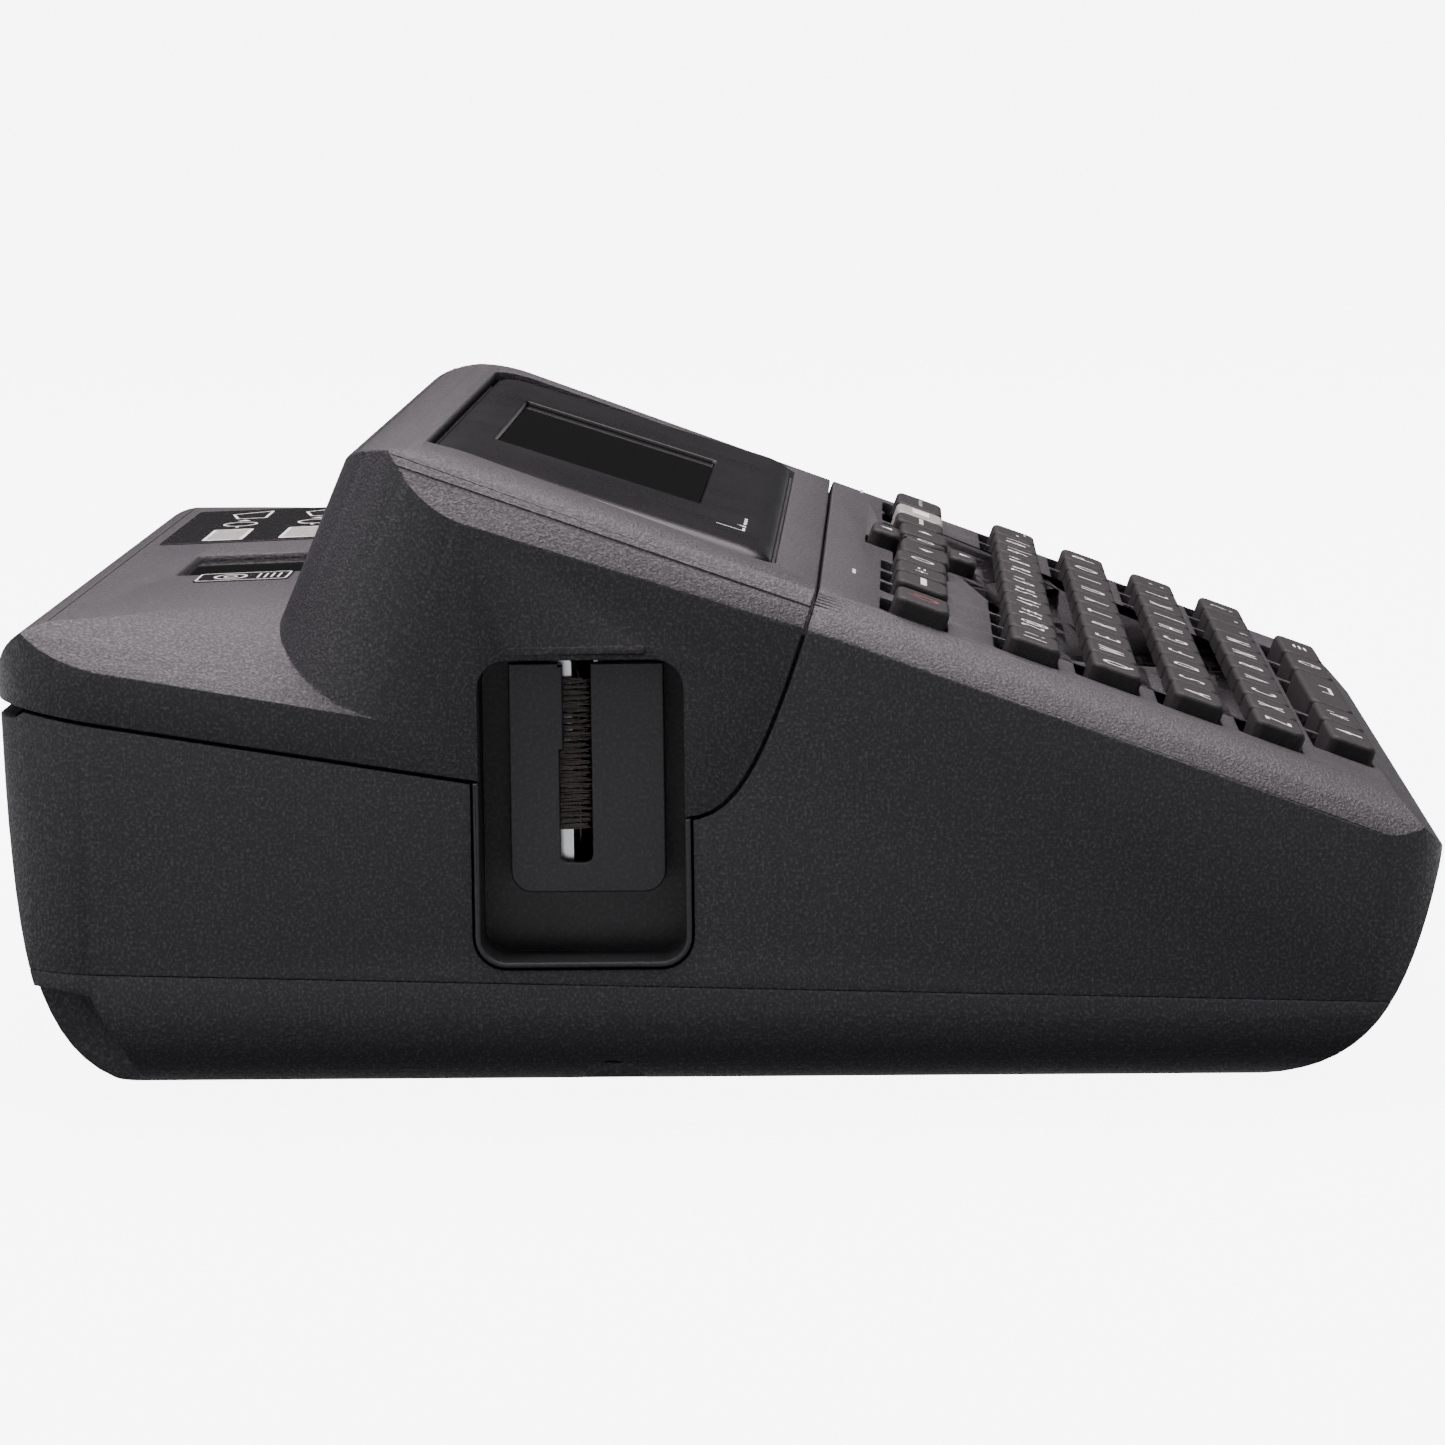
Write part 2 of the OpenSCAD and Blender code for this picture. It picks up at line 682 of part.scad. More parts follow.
module nav_pad() {
    color("#3b3a3d") difference() {
        nav_shape(0, -key_depth, key_rise);
        on_deck(nav_x, nav_s, -key_depth - 1) cylinder(h = 20, r = ok_r + 0.4);
    }
}
module ok_key() {
    color("#3b3a3d") on_deck(nav_x, nav_s, -key_depth) cylinder(h = key_depth + key_rise, r = ok_r);
}

// Stub pins on the battery door's front corners, reaching into the bay's side walls
module door_pins(reach, r) {
    for (side = [0, 1]) mirror([side, 0, 0]) translate([bay_x - 4, door_axis[0], door_axis[1]])
        rotate([0, 90, 0]) cylinder(h = 4 + reach, r = r);
}
module battery_door() {
    color("#2b2b2f") {
        block([-bay_x + door_gap, bay_y0 + door_hinge_gap, low_z],
            [bay_x - door_gap, bay_y1 - door_gap, low_z + door_t]);
        door_pins(1, door_pin_r);
    }
}
module battery_contacts() {
    color("silver") for (i = [0:5]) {
        x = (i - 2.5) * 15;
        for (y = [bay_y0, bay_y1 - 0.4]) block([x - 4, y, 7], [x + 4, y + 0.4, 16]);
        translate([x, bay_y0 + 0.4, 11.5]) rotate([-90, 0, 0]) cylinder(h = 2, r1 = 3.4, r2 = 2);
    }
}
module rubber_feet() {
    color("#151517") for (x = [-1, 1], y = foot_ys) post(x * foot_x, y, 0, low_z + 0.8, 6);
}
module case_screws() {
    color("silver") for (x = [-1, 1], y = screw_ys) {
        post(x * screw_x, y, low_z + 0.2, low_z + 2.2, 2.8);
        post(x * screw_x, y, low_z + 2, 24, 1.2);
    }
}

base_shell();
upper_housing();
cover_shell();
display_bezel();
display_lens();
lcd_panel();
display_board();
cassette_window();
instruction_label();
window_sticker();
exit_pocket();
exit_guide();
brush_strip();
cutter_blade();
cutter_carriage();
fixed_blade();
print_head();
head_arm();
platen_roller();
platen_gear();
idler_gear();
motor_pinion();
drive_motor();
drive_spindle();
ribbon_spool();
tape_roll();
label_tape();
cassette_case();
cassette_lid();
chassis_plate();
shaft_pins();
main_board();
keyboard_board();
key_mat();
key_row_1();
key_row_2();
key_row_3();
key_row_4();
shift_key();
accent_key();
space_bar();
symbol_key();
mode_key();
power_key();
function_key_1();
function_key_2();
function_key_3();
nav_pad();
ok_key();
function_key_4();
print_key();
clear_key();
battery_door();
battery_contacts();
usb_socket();
dc_jack();
hinge_pins();
rubber_feet();
case_screws();
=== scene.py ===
import json
import math
import random
import bmesh
import bpy
from mathutils import Matrix, Vector


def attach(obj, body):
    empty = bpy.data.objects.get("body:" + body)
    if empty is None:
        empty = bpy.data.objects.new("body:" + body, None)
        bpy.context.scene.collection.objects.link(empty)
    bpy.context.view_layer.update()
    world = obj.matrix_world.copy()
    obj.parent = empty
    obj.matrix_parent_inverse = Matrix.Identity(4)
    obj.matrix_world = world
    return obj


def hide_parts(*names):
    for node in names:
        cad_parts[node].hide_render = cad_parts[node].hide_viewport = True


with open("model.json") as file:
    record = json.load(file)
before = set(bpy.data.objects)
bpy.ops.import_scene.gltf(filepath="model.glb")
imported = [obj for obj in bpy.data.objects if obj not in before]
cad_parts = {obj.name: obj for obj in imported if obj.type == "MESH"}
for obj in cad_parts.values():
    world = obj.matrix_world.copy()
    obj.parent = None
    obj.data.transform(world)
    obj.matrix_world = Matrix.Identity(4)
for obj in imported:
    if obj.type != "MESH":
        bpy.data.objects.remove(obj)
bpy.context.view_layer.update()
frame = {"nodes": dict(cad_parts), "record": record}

# Lengths are in mm while a piece is made; finishPiece turns them into metres.
mm = 0.001

# Camera
camera = {
    "place": (-0.899, -0.02601, 0.1545),     # m, off the left side
    "turn": (82.803, 0.716, -88.3215),       # degrees
    "lens": 148.04,
}
eye = bpy.data.cameras.new("viewLens")
eye.lens = camera["lens"]
eye.clip_end = 200
viewCamera = bpy.data.objects.new("viewCamera", eye)
viewCamera.location = camera["place"]
viewCamera.rotation_euler = [math.radians(a) for a in camera["turn"]]
bpy.context.scene.collection.objects.link(viewCamera)
bpy.context.scene.camera = viewCamera
print("camera set")


# Colour and material helpers
def linear(hexColour):
    parts = [int(hexColour[i:i + 2], 16) / 255 for i in (1, 3, 5)]
    return [p / 12.92 if p <= 0.04045 else ((p + 0.055) / 1.055) ** 2.4 for p in parts] + [1.0]


def addNode(tree, kind, settings=None, links=None):
    made = tree.nodes.new(kind)
    for name, value in (settings or {}).items():
        if isinstance(name, int) or name in made.inputs:
            made.inputs[name].default_value = value
        else:
            setattr(made, name, value)
    for name, source in (links or {}).items():
        tree.links.new(source, made.inputs[name])
    return made


def startMaterial(name, **settings):
    made = bpy.data.materials.new(name)
    made.use_nodes = True
    tree = made.node_tree
    shader = tree.nodes["Principled BSDF"]
    for socket, value in settings.items():
        shader.inputs[socket.replace("_", " ")].default_value = value
    return made, tree, shader


def grainSize(size):
    return 1 / (size * mm)     # texture scale for features of this many mm


# Moulded plastic: the tool's texture leaves bumps, and each bump tip is a little smoother and paler
def mouldedPlastic(name, colour, tip, roughness, grain, bump, spread, **settings):
    made, tree, shader = startMaterial(name, IOR=1.53, **settings)
    place = addNode(tree, "ShaderNodeTexCoord")
    fine = addNode(tree, "ShaderNodeTexNoise", {"Scale": grainSize(grain), "Detail": 3.0, "Roughness": 0.6},
                   {"Vector": place.outputs["Object"]})
    broad = addNode(tree, "ShaderNodeTexNoise", {"Scale": grainSize(26), "Detail": 2.0},
                    {"Vector": place.outputs["Object"]})
    tips = addNode(tree, "ShaderNodeMapRange", {"From Min": 0.5, "From Max": 0.72},
                   {"Value": fine.outputs["Fac"]})
    mix = addNode(tree, "ShaderNodeMix", {"data_type": "RGBA", 6: linear(colour), 7: linear(tip)},
                  {0: tips.outputs["Result"]})
    tree.links.new(mix.outputs[2], shader.inputs["Base Color"])
    rough = addNode(tree, "ShaderNodeMapRange",
                    {"From Min": 0.3, "From Max": 0.7, "To Min": roughness + spread,
                     "To Max": roughness - spread}, {"Value": fine.outputs["Fac"]})
    drift = addNode(tree, "ShaderNodeMapRange",
                    {"From Min": 0.35, "From Max": 0.65, "To Min": -0.03, "To Max": 0.03},
                    {"Value": broad.outputs["Fac"]})
    total = addNode(tree, "ShaderNodeMath", {"operation": "ADD"},
                    {0: rough.outputs["Result"], 1: drift.outputs["Result"]})
    tree.links.new(total.outputs[0], shader.inputs["Roughness"])
    relief = addNode(tree, "ShaderNodeBump", {"Strength": bump, "Distance": grain * mm * 0.5},
                     {"Height": fine.outputs["Fac"]})
    tree.links.new(relief.outputs["Normal"], shader.inputs["Normal"])
    return made


# Metal: fine lines from rolling or grinding along one axis
def workedMetal(name, colour, roughness, stretch, grain, bump):
    made, tree, shader = startMaterial(name, Metallic=1.0)
    shader.inputs["Base Color"].default_value = linear(colour)
    place = addNode(tree, "ShaderNodeTexCoord")
    squeeze = addNode(tree, "ShaderNodeMapping", {"Scale": stretch}, {"Vector": place.outputs["Object"]})
    lines = addNode(tree, "ShaderNodeTexNoise", {"Scale": grainSize(grain), "Detail": 3.0},
                    {"Vector": squeeze.outputs["Vector"]})
    rough = addNode(tree, "ShaderNodeMapRange", {"To Min": roughness - 0.1, "To Max": roughness + 0.1},
                    {"Value": lines.outputs["Fac"]})
    tree.links.new(rough.outputs["Result"], shader.inputs["Roughness"])
    relief = addNode(tree, "ShaderNodeBump", {"Strength": bump, "Distance": 0.02 * mm},
                     {"Height": lines.outputs["Fac"]})
    tree.links.new(relief.outputs["Normal"], shader.inputs["Normal"])
    return made


# The last numbers of a plastic: roughness, grain in mm, bump, spread of the roughness. Real tooling grain
# is 0.05 to 0.2 mm and is drawn at 0.25 to 0.9 mm, because a finer one would not show.
finishes = {
    # ABS moulded in a spark-eroded tool: near-black with pinpoint sparkle; the real 0.2 mm grit is
    # drawn at 0.4 mm so that it shows
    "charcoal_abs": mouldedPlastic("absSparkEroded", "#212125", "#434147", 0.5, 0.42, 0.9, 0.17,
                                  Specular_IOR_Level=0.42),
    # ABS from a polished and lightly blasted tool: satin, with long soft gradients
    "bezel_abs": mouldedPlastic("absSatinMoulded", "#111113", "#18181b", 0.3, 0.35, 0.1, 0.04,
                                Specular_IOR_Level=0.22),
    # ABS from a smooth tool, inside the pocket: darker and duller
    "inner_abs": mouldedPlastic("absSmoothMoulded", "#232326", "#303034", 0.5, 0.5, 0.3, 0.05),
    # Silicone rubber keys, moulded with a fine blasted surface: soft, slightly warm grey
    "key_rubber": mouldedPlastic("siliconeMoulded", "#1d1c1d", "#2c2a2b", 0.6, 0.3, 0.2, 0.06,
                                 Specular_IOR_Level=0.22),
    # The same rubber filled with pale grey pigment: lighter, with a soft sheen
    "grey_key_rubber": mouldedPlastic("siliconeMouldedGrey", "#8d8b89", "#a09e9b", 0.5, 0.3, 0.15, 0.05),
    # Ground rubber: dull with fine pits
    "platen_rubber": mouldedPlastic("rubberGround", "#161618", "#29292b", 0.75, 0.3, 0.3, 0.06),
    # Moulded rubber feet: matt black with a soft tooth
    "foot_rubber": mouldedPlastic("rubberMoulded", "#17171a", "#232326", 0.8, 0.5, 0.25, 0.05),
    # Nylon from a plain tool, for the sockets: dark and a little shiny
    "socket_plastic": mouldedPlastic("nylonMoulded", "#141416", "#222224", 0.45, 0.4, 0.15, 0.05),
    # Acetal gears: milky, slightly waxy
    "acetal": mouldedPlastic("acetalMoulded", "#dcd9d0", "#efece4", 0.35, 0.5, 0.06, 0.04),
    # Polystyrene cassette: pale grey, semi-gloss
    "cassette_plastic": mouldedPlastic("polystyreneMoulded", "#c9c6bd", "#d8d5cc", 0.32, 0.6, 0.08, 0.04),
    # Glazed ceramic print head: cream, wet-looking gloss
    "head_ceramic": mouldedPlastic("ceramicGlazed", "#cfc7b0", "#ddd6c2", 0.18, 0.6, 0.05, 0.03),
    # Circuit board: solder mask over woven glass
    "circuit_board": mouldedPlastic("solderMaskCoated", "#14492f", "#1c5d3d", 0.3, 0.9, 0.12, 0.05),
    # Coated polyester label tape: nearly white, smooth sheen
    "tape_film": mouldedPlastic("polyesterFilmCoated", "#eceae4", "#f6f4ef", 0.28, 0.8, 0.04, 0.03),
    # Inked ribbon film: black with a silky gloss
    "ribbon_film": mouldedPlastic("ribbonFilmInked", "#131315", "#1f1f22", 0.3, 0.7, 0.08, 0.05),
    # Extruded nylon brush fibres: reddish brown, dark between the tufts
    "brush_fibre": mouldedPlastic("nylonFibreExtruded", "#2b201b", "#5e483c", 0.45, 0.25, 0.3, 0.08),
    # Nickel plate over drawn steel pins: bright, with faint lines along the axis
    "plated_steel": workedMetal("steelNickelPlated", "#c9cacc", 0.3, (1, 1, 0.08), 0.4, 0.2),
    # Rolled galvanised sheet: dull grey with a soft grain
    "galvanised_sheet": workedMetal("steelGalvanisedRolled", "#a9acb0", 0.5, (0.4, 1, 1), 0.9, 0.04),
    # Hobbed brass: yellow, with fine tool lines
    "brass_gear": workedMetal("brassHobbed", "#c9a24e", 0.3, (1, 1, 0.1), 0.3, 0.2),
    # Die-cast aluminium: pale and satin, slightly mottled
    "arm_aluminium": workedMetal("aluminiumDieCast", "#b4b7bb", 0.45, (1, 1, 1), 0.7, 0.3),
}


# Clear-topped black windows: acrylic and glass, polished, with a trace of dust in the gloss
def polishedBlack(name, colour, roughness, coat, shine=0.5):
    made, tree, shader = startMaterial(name, IOR=1.49, Coat_Weight=coat, Coat_Roughness=0.04,
                                       Specular_IOR_Level=shine)
    shader.inputs["Base Color"].default_value = linear(colour)
    place = addNode(tree, "ShaderNodeTexCoord")
    dust = addNode(tree, "ShaderNodeTexNoise", {"Scale": grainSize(1.1), "Detail": 4.0},
                   {"Vector": place.outputs["Object"]})
    rough = addNode(tree, "ShaderNodeMapRange", {"From Min": 0.55, "From Max": 0.75, "To Min": roughness,
                    "To Max": roughness + 0.08}, {"Value": dust.outputs["Fac"]})
    tree.links.new(rough.outputs["Result"], shader.inputs["Roughness"])
    return made


finishes["window_acrylic"] = polishedBlack("acrylicPolished", "#030304", 0.05, 0.0, 0.12)
# Printed vinyl under a clear coat: black with a soft broad sheen
finishes["label_vinyl"] = polishedBlack("vinylPrinted", "#0b0b0d", 0.25, 0.2)
# Polarised display glass: greenish black with a clear gloss
finishes["lcd_glass"] = polishedBlack("glassPolarised", "#20241e", 0.1, 0.4)
# Pad-printed ink: flat and slightly chalky
whiteInk = mouldedPlastic("inkPadPrinted", "#d9d9d6", "#f0f0ee", 0.6, 0.4, 0.05, 0.04)
greyInk = mouldedPlastic("inkPadPrintedGrey", "#8b8b8b", "#a2a2a2", 0.6, 0.4, 0.05, 0.04)
redInk = mouldedPlastic("inkPadPrintedRed", "#7c3f3c", "#925452", 0.6, 0.4, 0.05, 0.04)
print("materials made")


# Outlines, in mm
def curve(a, b, c, d, n=14):
    points = []
    for i in range(n + 1):
        t = i / n
        s = 1 - t
        points.append([s * s * s * a[k] + 3 * s * s * t * b[k] + 3 * s * t * t * c[k] + t * t * t * d[k]
                       for k in (0, 1)])
    return points


def arc(x, y, r, start, end, n=12):
    angles = [math.radians(start + (end - start) * i / n) for i in range(n + 1)]
    return [[x + r * math.cos(a), y + r * math.sin(a)] for a in angles]


def roundBox(x0, x1, y0, y1, r, n=5):
    return (arc(x1 - r, y1 - r, r, 0, 90, n) + arc(x0 + r, y1 - r, r, 90, 180, n)
            + arc(x0 + r, y0 + r, r, 180, 270, n) + arc(x1 - r, y0 + r, r, 270, 360, n))


def box(x0, x1, y0, y1):
    return [[x0, y0], [x1, y0], [x1, y1], [x0, y1]]


# An outline drawn in by an inset; a negative inset grows it, and sides that turn over are dropped
def drawIn(points, inset):
    loop = [Vector(p) for p in points]
    loop = [p for i, p in enumerate(loop) if (p - loop[i - 1]).length > 1e-4]
    if sum(a.x * b.y - b.x * a.y for a, b in zip(loop, loop[1:] + loop[:1])) < 0:
        loop.reverse()
    sides = []
    for a, b in zip(loop, loop[1:] + loop[:1]):
        way = (b - a).normalized()
        sides.append((a + Vector((-way.y, way.x)) * inset, way))
    while True:
        corners = []
        for (p, u), (q, v) in zip(sides[-1:] + sides[:-1], sides):
            cross = u.x * v.y - u.y * v.x
            step = q - p
            corners.append(q if abs(cross) < 1e-5 else p + u * ((step.x * v.y - step.y * v.x) / cross))
        lengths = [(corners[(i + 1) % len(sides)] - corners[i]).dot(sides[i][1]) for i in range(len(sides))]
        if min(lengths) > 0 or len(sides) < 5:
            return [list(c) for c in corners]
        sides.pop(lengths.index(min(lengths)))


def roundCorners(points, r, n=6):
    made = []
    for i, p in enumerate(points):
        p = Vector(p)
        before = (Vector(points[i - 1]) - p).normalized()
        after = (Vector(points[(i + 1) % len(points)]) - p).normalized()
        half = before.angle(after) / 2
        centre = p + (before + after).normalized() * (r / math.sin(half))
        a = p + before * (r / math.tan(half)) - centre
        b = p + after * (r / math.tan(half)) - centre
        sweep = math.pi - 2 * half
        for k in range(n + 1):
            t = k / n
            spot = (a * math.sin((1 - t) * sweep) + b * math.sin(t * sweep)) / math.sin(sweep)
            made.append(list(centre + spot))
    return made


# Solids, in mm
alongX = Matrix(((0, 0, 1, 0), (1, 0, 0, 0), (0, 1, 0, 0), (0, 0, 0, 1)))
alongY = Matrix(((1, 0, 0, 0), (0, 0, 1, 0), (0, 1, 0, 0), (0, 0, 0, 1)))


def toObject(shape):
    bmesh.ops.recalc_face_normals(shape, faces=shape.faces)
    mesh = bpy.data.meshes.new("tool")
    shape.to_mesh(mesh)
    shape.free()
    made = bpy.data.objects.new("tool", mesh)
    bpy.context.scene.collection.objects.link(made)
    return made


# Skins a row of rings, each a list of 3-D points, and closes both ends
def loft(rings, place=Matrix()):
    shape = bmesh.new()
    rows = [[shape.verts.new(place @ Vector(p)) for p in ring] for ring in rings]
    for low, high in zip(rows, rows[1:]):
        for i in range(len(low)):
            j = (i + 1) % len(low)
            shape.faces.new((low[i], low[j], high[j], high[i]))
    shape.faces.new(rows[0][::-1])
    shape.faces.new(rows[-1])
    return toObject(shape)


def prism(points, low, high, place=Matrix()):
    return loft([[(x, y, low) for x, y in points], [(x, y, high) for x, y in points]], place)


def block(a, b, place=Matrix()):
    return prism(box(a[0], b[0], a[1], b[1]), a[2], b[2], place)


def rod(x, y, low, high, r, place=Matrix(), n=40):
    return prism(arc(x, y, r, 0, 360 - 360 / n, n - 1), low, high, place)


# A slab with round plan corners and a round top edge
def softSlab(x0, x1, y0, y1, low, high, corner, edge, place=Matrix(), steps=4):
    rings = [[(x, y, low) for x, y in roundBox(x0, x1, y0, y1, corner)]]
    for i in range(steps + 1):
        a = math.radians(90 * i / steps)
        inset = edge * (1 - math.cos(a))
        ring = roundBox(x0 + inset, x1 - inset, y0 + inset, y1 - inset, corner - inset)
        rings.append([(x, y, high - edge * (1 - math.sin(a))) for x, y in ring])
    return loft(rings, place)


def combine(piece, tool, way):
    change = piece.modifiers.new(way, "BOOLEAN")
    change.operation = way
    change.solver = "MANIFOLD"
    change.object = tool
    made = bpy.data.meshes.new_from_object(piece.evaluated_get(bpy.context.evaluated_depsgraph_get()))
    piece.modifiers.clear()
    piece.data = made
    bpy.data.objects.remove(tool)
    return piece


def cut(piece, *tools):
    for tool in tools:
        combine(piece, tool, "DIFFERENCE")
    return piece


def add(piece, *tools):
    for tool in tools:
        combine(piece, tool, "UNION")
    return piece


def keep(piece, *tools):
    for tool in tools:
        combine(piece, tool, "INTERSECT")
    return piece


# Puts separate solids into one object without merging them
def gather(solids):
    shape = bmesh.new()
    for solid in solids:
        shape.from_mesh(solid.data)
        bpy.data.objects.remove(solid)
    return toObject(shape)


# Removes slivers left by the cuts and rounds the chosen edges: width(edge, middle) gives mm or 0
def soften(piece, width, widest, segments=2):
    shape = bmesh.new()
    shape.from_mesh(piece.data)
    bmesh.ops.remove_doubles(shape, verts=shape.verts, dist=0.02)
    bmesh.ops.dissolve_degenerate(shape, edges=shape.edges, dist=0.02)
    bmesh.ops.dissolve_limit(shape, angle_limit=math.radians(0.4), verts=shape.verts, edges=shape.edges)
    weights = shape.edges.layers.float.new("bevel_weight_edge")
    for edge in shape.edges:
        if len(edge.link_faces) == 2 and edge.calc_face_angle() > math.radians(28):
            edge[weights] = width(edge, (edge.verts[0].co + edge.verts[1].co) / 2) / widest
    shape.to_mesh(piece.data)
    shape.free()
    rounding = piece.modifiers.new("roundEdges", "BEVEL")
    rounding.width = widest
    rounding.segments = segments
    rounding.limit_method = "WEIGHT"
    rounding.use_clamp_overlap = False
    rounding.miter_outer = "MITER_SHARP"
    made = bpy.data.meshes.new_from_object(piece.evaluated_get(bpy.context.evaluated_depsgraph_get()))
    piece.modifiers.clear()
    piece.data = made
    return piece


# Broad flat faces keep their own normal, so that no shade runs in from their edges
def isBroadFlat(piece, face):
    if face.area < 150:
        return False
    points = [piece.data.vertices[i].co for i in face.vertices]
    spans = sorted(max(p[k] for p in points) - min(p[k] for p in points) for k in range(3))
    return spans[1] > 12


def finishPiece(piece, name, body, nodes, slot=None, finish=None, smooth=32, even=True):
    piece.name = piece.data.name = name
    rounded = [not isBroadFlat(piece, face) for face in piece.data.polygons]
    piece.data.polygons.foreach_set("use_smooth", rounded)
    piece.data.transform(Matrix.Scale(mm, 4))
    piece.data.set_sharp_from_angle(angle=math.radians(smooth))
    if even:
        piece.modifiers.new("evenNormals", "WEIGHTED_NORMAL").keep_sharp = True
    piece.data.materials.clear()
    piece.data.materials.append(finish or finishes[slot])
    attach(piece, body)
    if nodes:
        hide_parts(*nodes)
    return piece


# Outer form
form = {
    "halfWidth": 95.7,            # the bead round the exit pocket stands out to 96
    "low": 1.5,
    "wall": 2.2,
    "deckHeight": 75.9,
    "deckSlope": 20.3,
    "shoulderWidth": 12,
    "shoulderDrops": [(-160, 5.1), (-20, 5.1), (46, 8), (160, 8)],    # place down the slope, drop
    "frontRadius": 10.3,
    "rearRadius": 16,
    "turnHeight": 13,              # below the parting line all along
    "humpEnd": (51.2, 88.3),
    "humpFoot": (59.9, 67.9),
    "humpLean": 22.9,
    "humpRadius": 20,
    "rearEdge": (45.7, 10),       # height and slope of the rear deck's side slopes
    "seamGap": 0.5,
    "partLine": (16.3, 1.6),      # height and slope of the bottom shell's parting plane
}
halfWidth = form["halfWidth"]
low = form["low"]
far = 160
deckSlope = math.radians(form["deckSlope"])
deckFrame = Matrix.Translation((0, 0, form["deckHeight"])) @ Matrix.Rotation(deckSlope, 4, "X")


def deckZ(y):
    return form["deckHeight"] + y * math.tan(deckSlope)


sideOutline = (
    curve((-68, low), (-90, low), (-95, 16), (-100, 34), 18)
    + [(-93.4, deckZ(-93.4))]
    + curve((34, deckZ(34)), (40, 90.7), (48, 91.2), form["humpEnd"], 12)
    + [form["humpFoot"]]
    + curve((92, 66.9), (97, 66), (100, 62), (100, 58), 10)
    + curve((99.2, 54), (97.5, 20), (95, low), (76, low), 18))


# A plan corner from outside the side wall to the end face. It stops short of the wall's own plane and
# runs out along its tangent, so that wall and corner cross at a clean line
def planCorner(y, r, way, reach=20, n=18):
    start = 5
    first = math.radians(start)
    x0, y0 = halfWidth - r, y - way * r
    outside = [x0 + r * math.cos(first) + reach * math.sin(first),
               y0 + way * (r * math.sin(first) - reach * math.cos(first))]
    return [outside] + [[x, y0 + way * (py - y0)] for x, py in arc(x0, y0, r, start, 90, n)]


def mirrored(points):
    return [[-x, y] for x, y in reversed(points)]


rearCorner = planCorner(100, form["rearRadius"], 1)
frontCorner = planCorner(-100, form["frontRadius"], -1)
planOutline = rearCorner + mirrored(rearCorner) + mirrored(frontCorner[::-1]) + frontCorner[::-1]
turn = form["turnHeight"]
crossOutline = (
    [(-halfWidth, far)]
    + curve((-halfWidth, turn), (-halfWidth, 6), (6 - halfWidth, low), (16 - halfWidth, low))
    + curve((halfWidth - 16, low), (halfWidth - 6, low), (halfWidth, 6), (halfWidth, turn))
    + [(halfWidth, far)])
lean = math.radians(form["humpLean"])
humpBack = form["humpFoot"][0] * math.cos(lean) + form["humpFoot"][1] * math.sin(lean)
humpRadius = form["humpRadius"]
humpCorner = planCorner(humpBack, humpRadius, 1, 320, 24)
humpPlan = humpCorner + mirrored(humpCorner)


def shoulderRing(drop):
    half = curve((0, drop), (drop * 0.55, drop * 0.42), (form["shoulderWidth"] * 0.55, 0.12),
                 (form["shoulderWidth"], 0), 16)
    left = [(-halfWidth - 1, -drop - 1.05)] + [(-halfWidth + dx, -fall) for dx, fall in half]
    right = [(-x, z) for x, z in reversed(left)]
    return [(-halfWidth - 1, -far)] + left + right + [(halfWidth + 1, -far)]


def envelope(inset=0.0):
    whole = prism(drawIn(sideOutline, inset), -halfWidth - 1, halfWidth + 1, alongX)
    keep(whole, prism(drawIn(planOutline, inset), -10, 120))
    keep(whole, prism(drawIn(crossOutline, inset), -120, 120, alongY))
    rings = []
    for s, drop in form["shoulderDrops"]:
        rings.append([(x, s, z) for x, z in drawIn(shoulderRing(drop), inset)])
    count = min(len(ring) for ring in rings)       # a ring that kept more points can't be skinned
    top = loft([ring for ring in rings if len(ring) == count], deckFrame)
    keep(top, prism(drawIn(humpPlan, inset), -far, 2 * far, Matrix.Rotation(lean, 4, "X")))
    height, slope = form["rearEdge"]
    flank = curve((halfWidth, 0), (halfWidth - 12, 8.4), (halfWidth - 24, 12.3), (halfWidth - 40, 12.6))
    slopes = ([(-halfWidth - 5, -far), (halfWidth + 5, -far), (halfWidth + 5, -3.5)] + flank
              + [(-x, z) for x, z in reversed(flank)] + [(-halfWidth - 5, -3.5)])
    rear = Matrix.Translation((0, 0, height)) @ Matrix.Rotation(math.radians(slope), 4, "X")
    add(top, prism(drawIn(slopes, inset), -far, far, rear @ alongY))
    return keep(whole, top)


seamLine = (
    [(108, 57), (99.6, 55.9), (70, 51.2), (32.7, 45.2), (4.1, 40)]
    + curve((4.1, 40), (-2.5, 40), (-6, 48), (-9.8, 58.1), 10) + [(-15.9, 76)])
coverZone = seamLine + [(-15.9, far), (108, far)]
partHeight, partSlope = form["partLine"]
partFrame = Matrix.Translation((0, 0, partHeight)) @ Matrix.Rotation(math.radians(partSlope), 4, "X")


def belowParting():
    return block((-far, -far, -far), (far, far, 0), partFrame)


pocket = {
    "front": 4.1, "rear": 32.3, "bottom": 20.1, "top": 61.7,
    "lowCorner": 3.5, "highCorner": 4,
    "bead": 0.8, "groove": 0.3,      # rim of the liner, and the dark line round it
    "depth": -86,                     # where the back of the pocket is
    "visor": (9.2, 28.3, 62.5, 63.5),
}


def pocketOutline(grow=0.0):
    y0, y1 = pocket["front"] - grow, pocket["rear"] + grow
    z0, z1 = pocket["bottom"] - grow, pocket["top"] + grow
    r, q = pocket["lowCorner"] + grow, pocket["highCorner"] + grow
    return (arc(y1 - q, z1 - q, q, 0, 90, 8) + arc(y0 + q, z1 - q, q, 90, 180, 8)
            + arc(y0 + r, z0 + r, r, 180, 270, 8) + arc(y1 - r, z0 + r, r, 270, 360, 8))


def pocketCut(grow=0.0):
    return prism(pocketOutline(grow), -110, -halfWidth + 4, alongX)


skin = cut(envelope(), envelope(form["wall"]))
print("skin made")


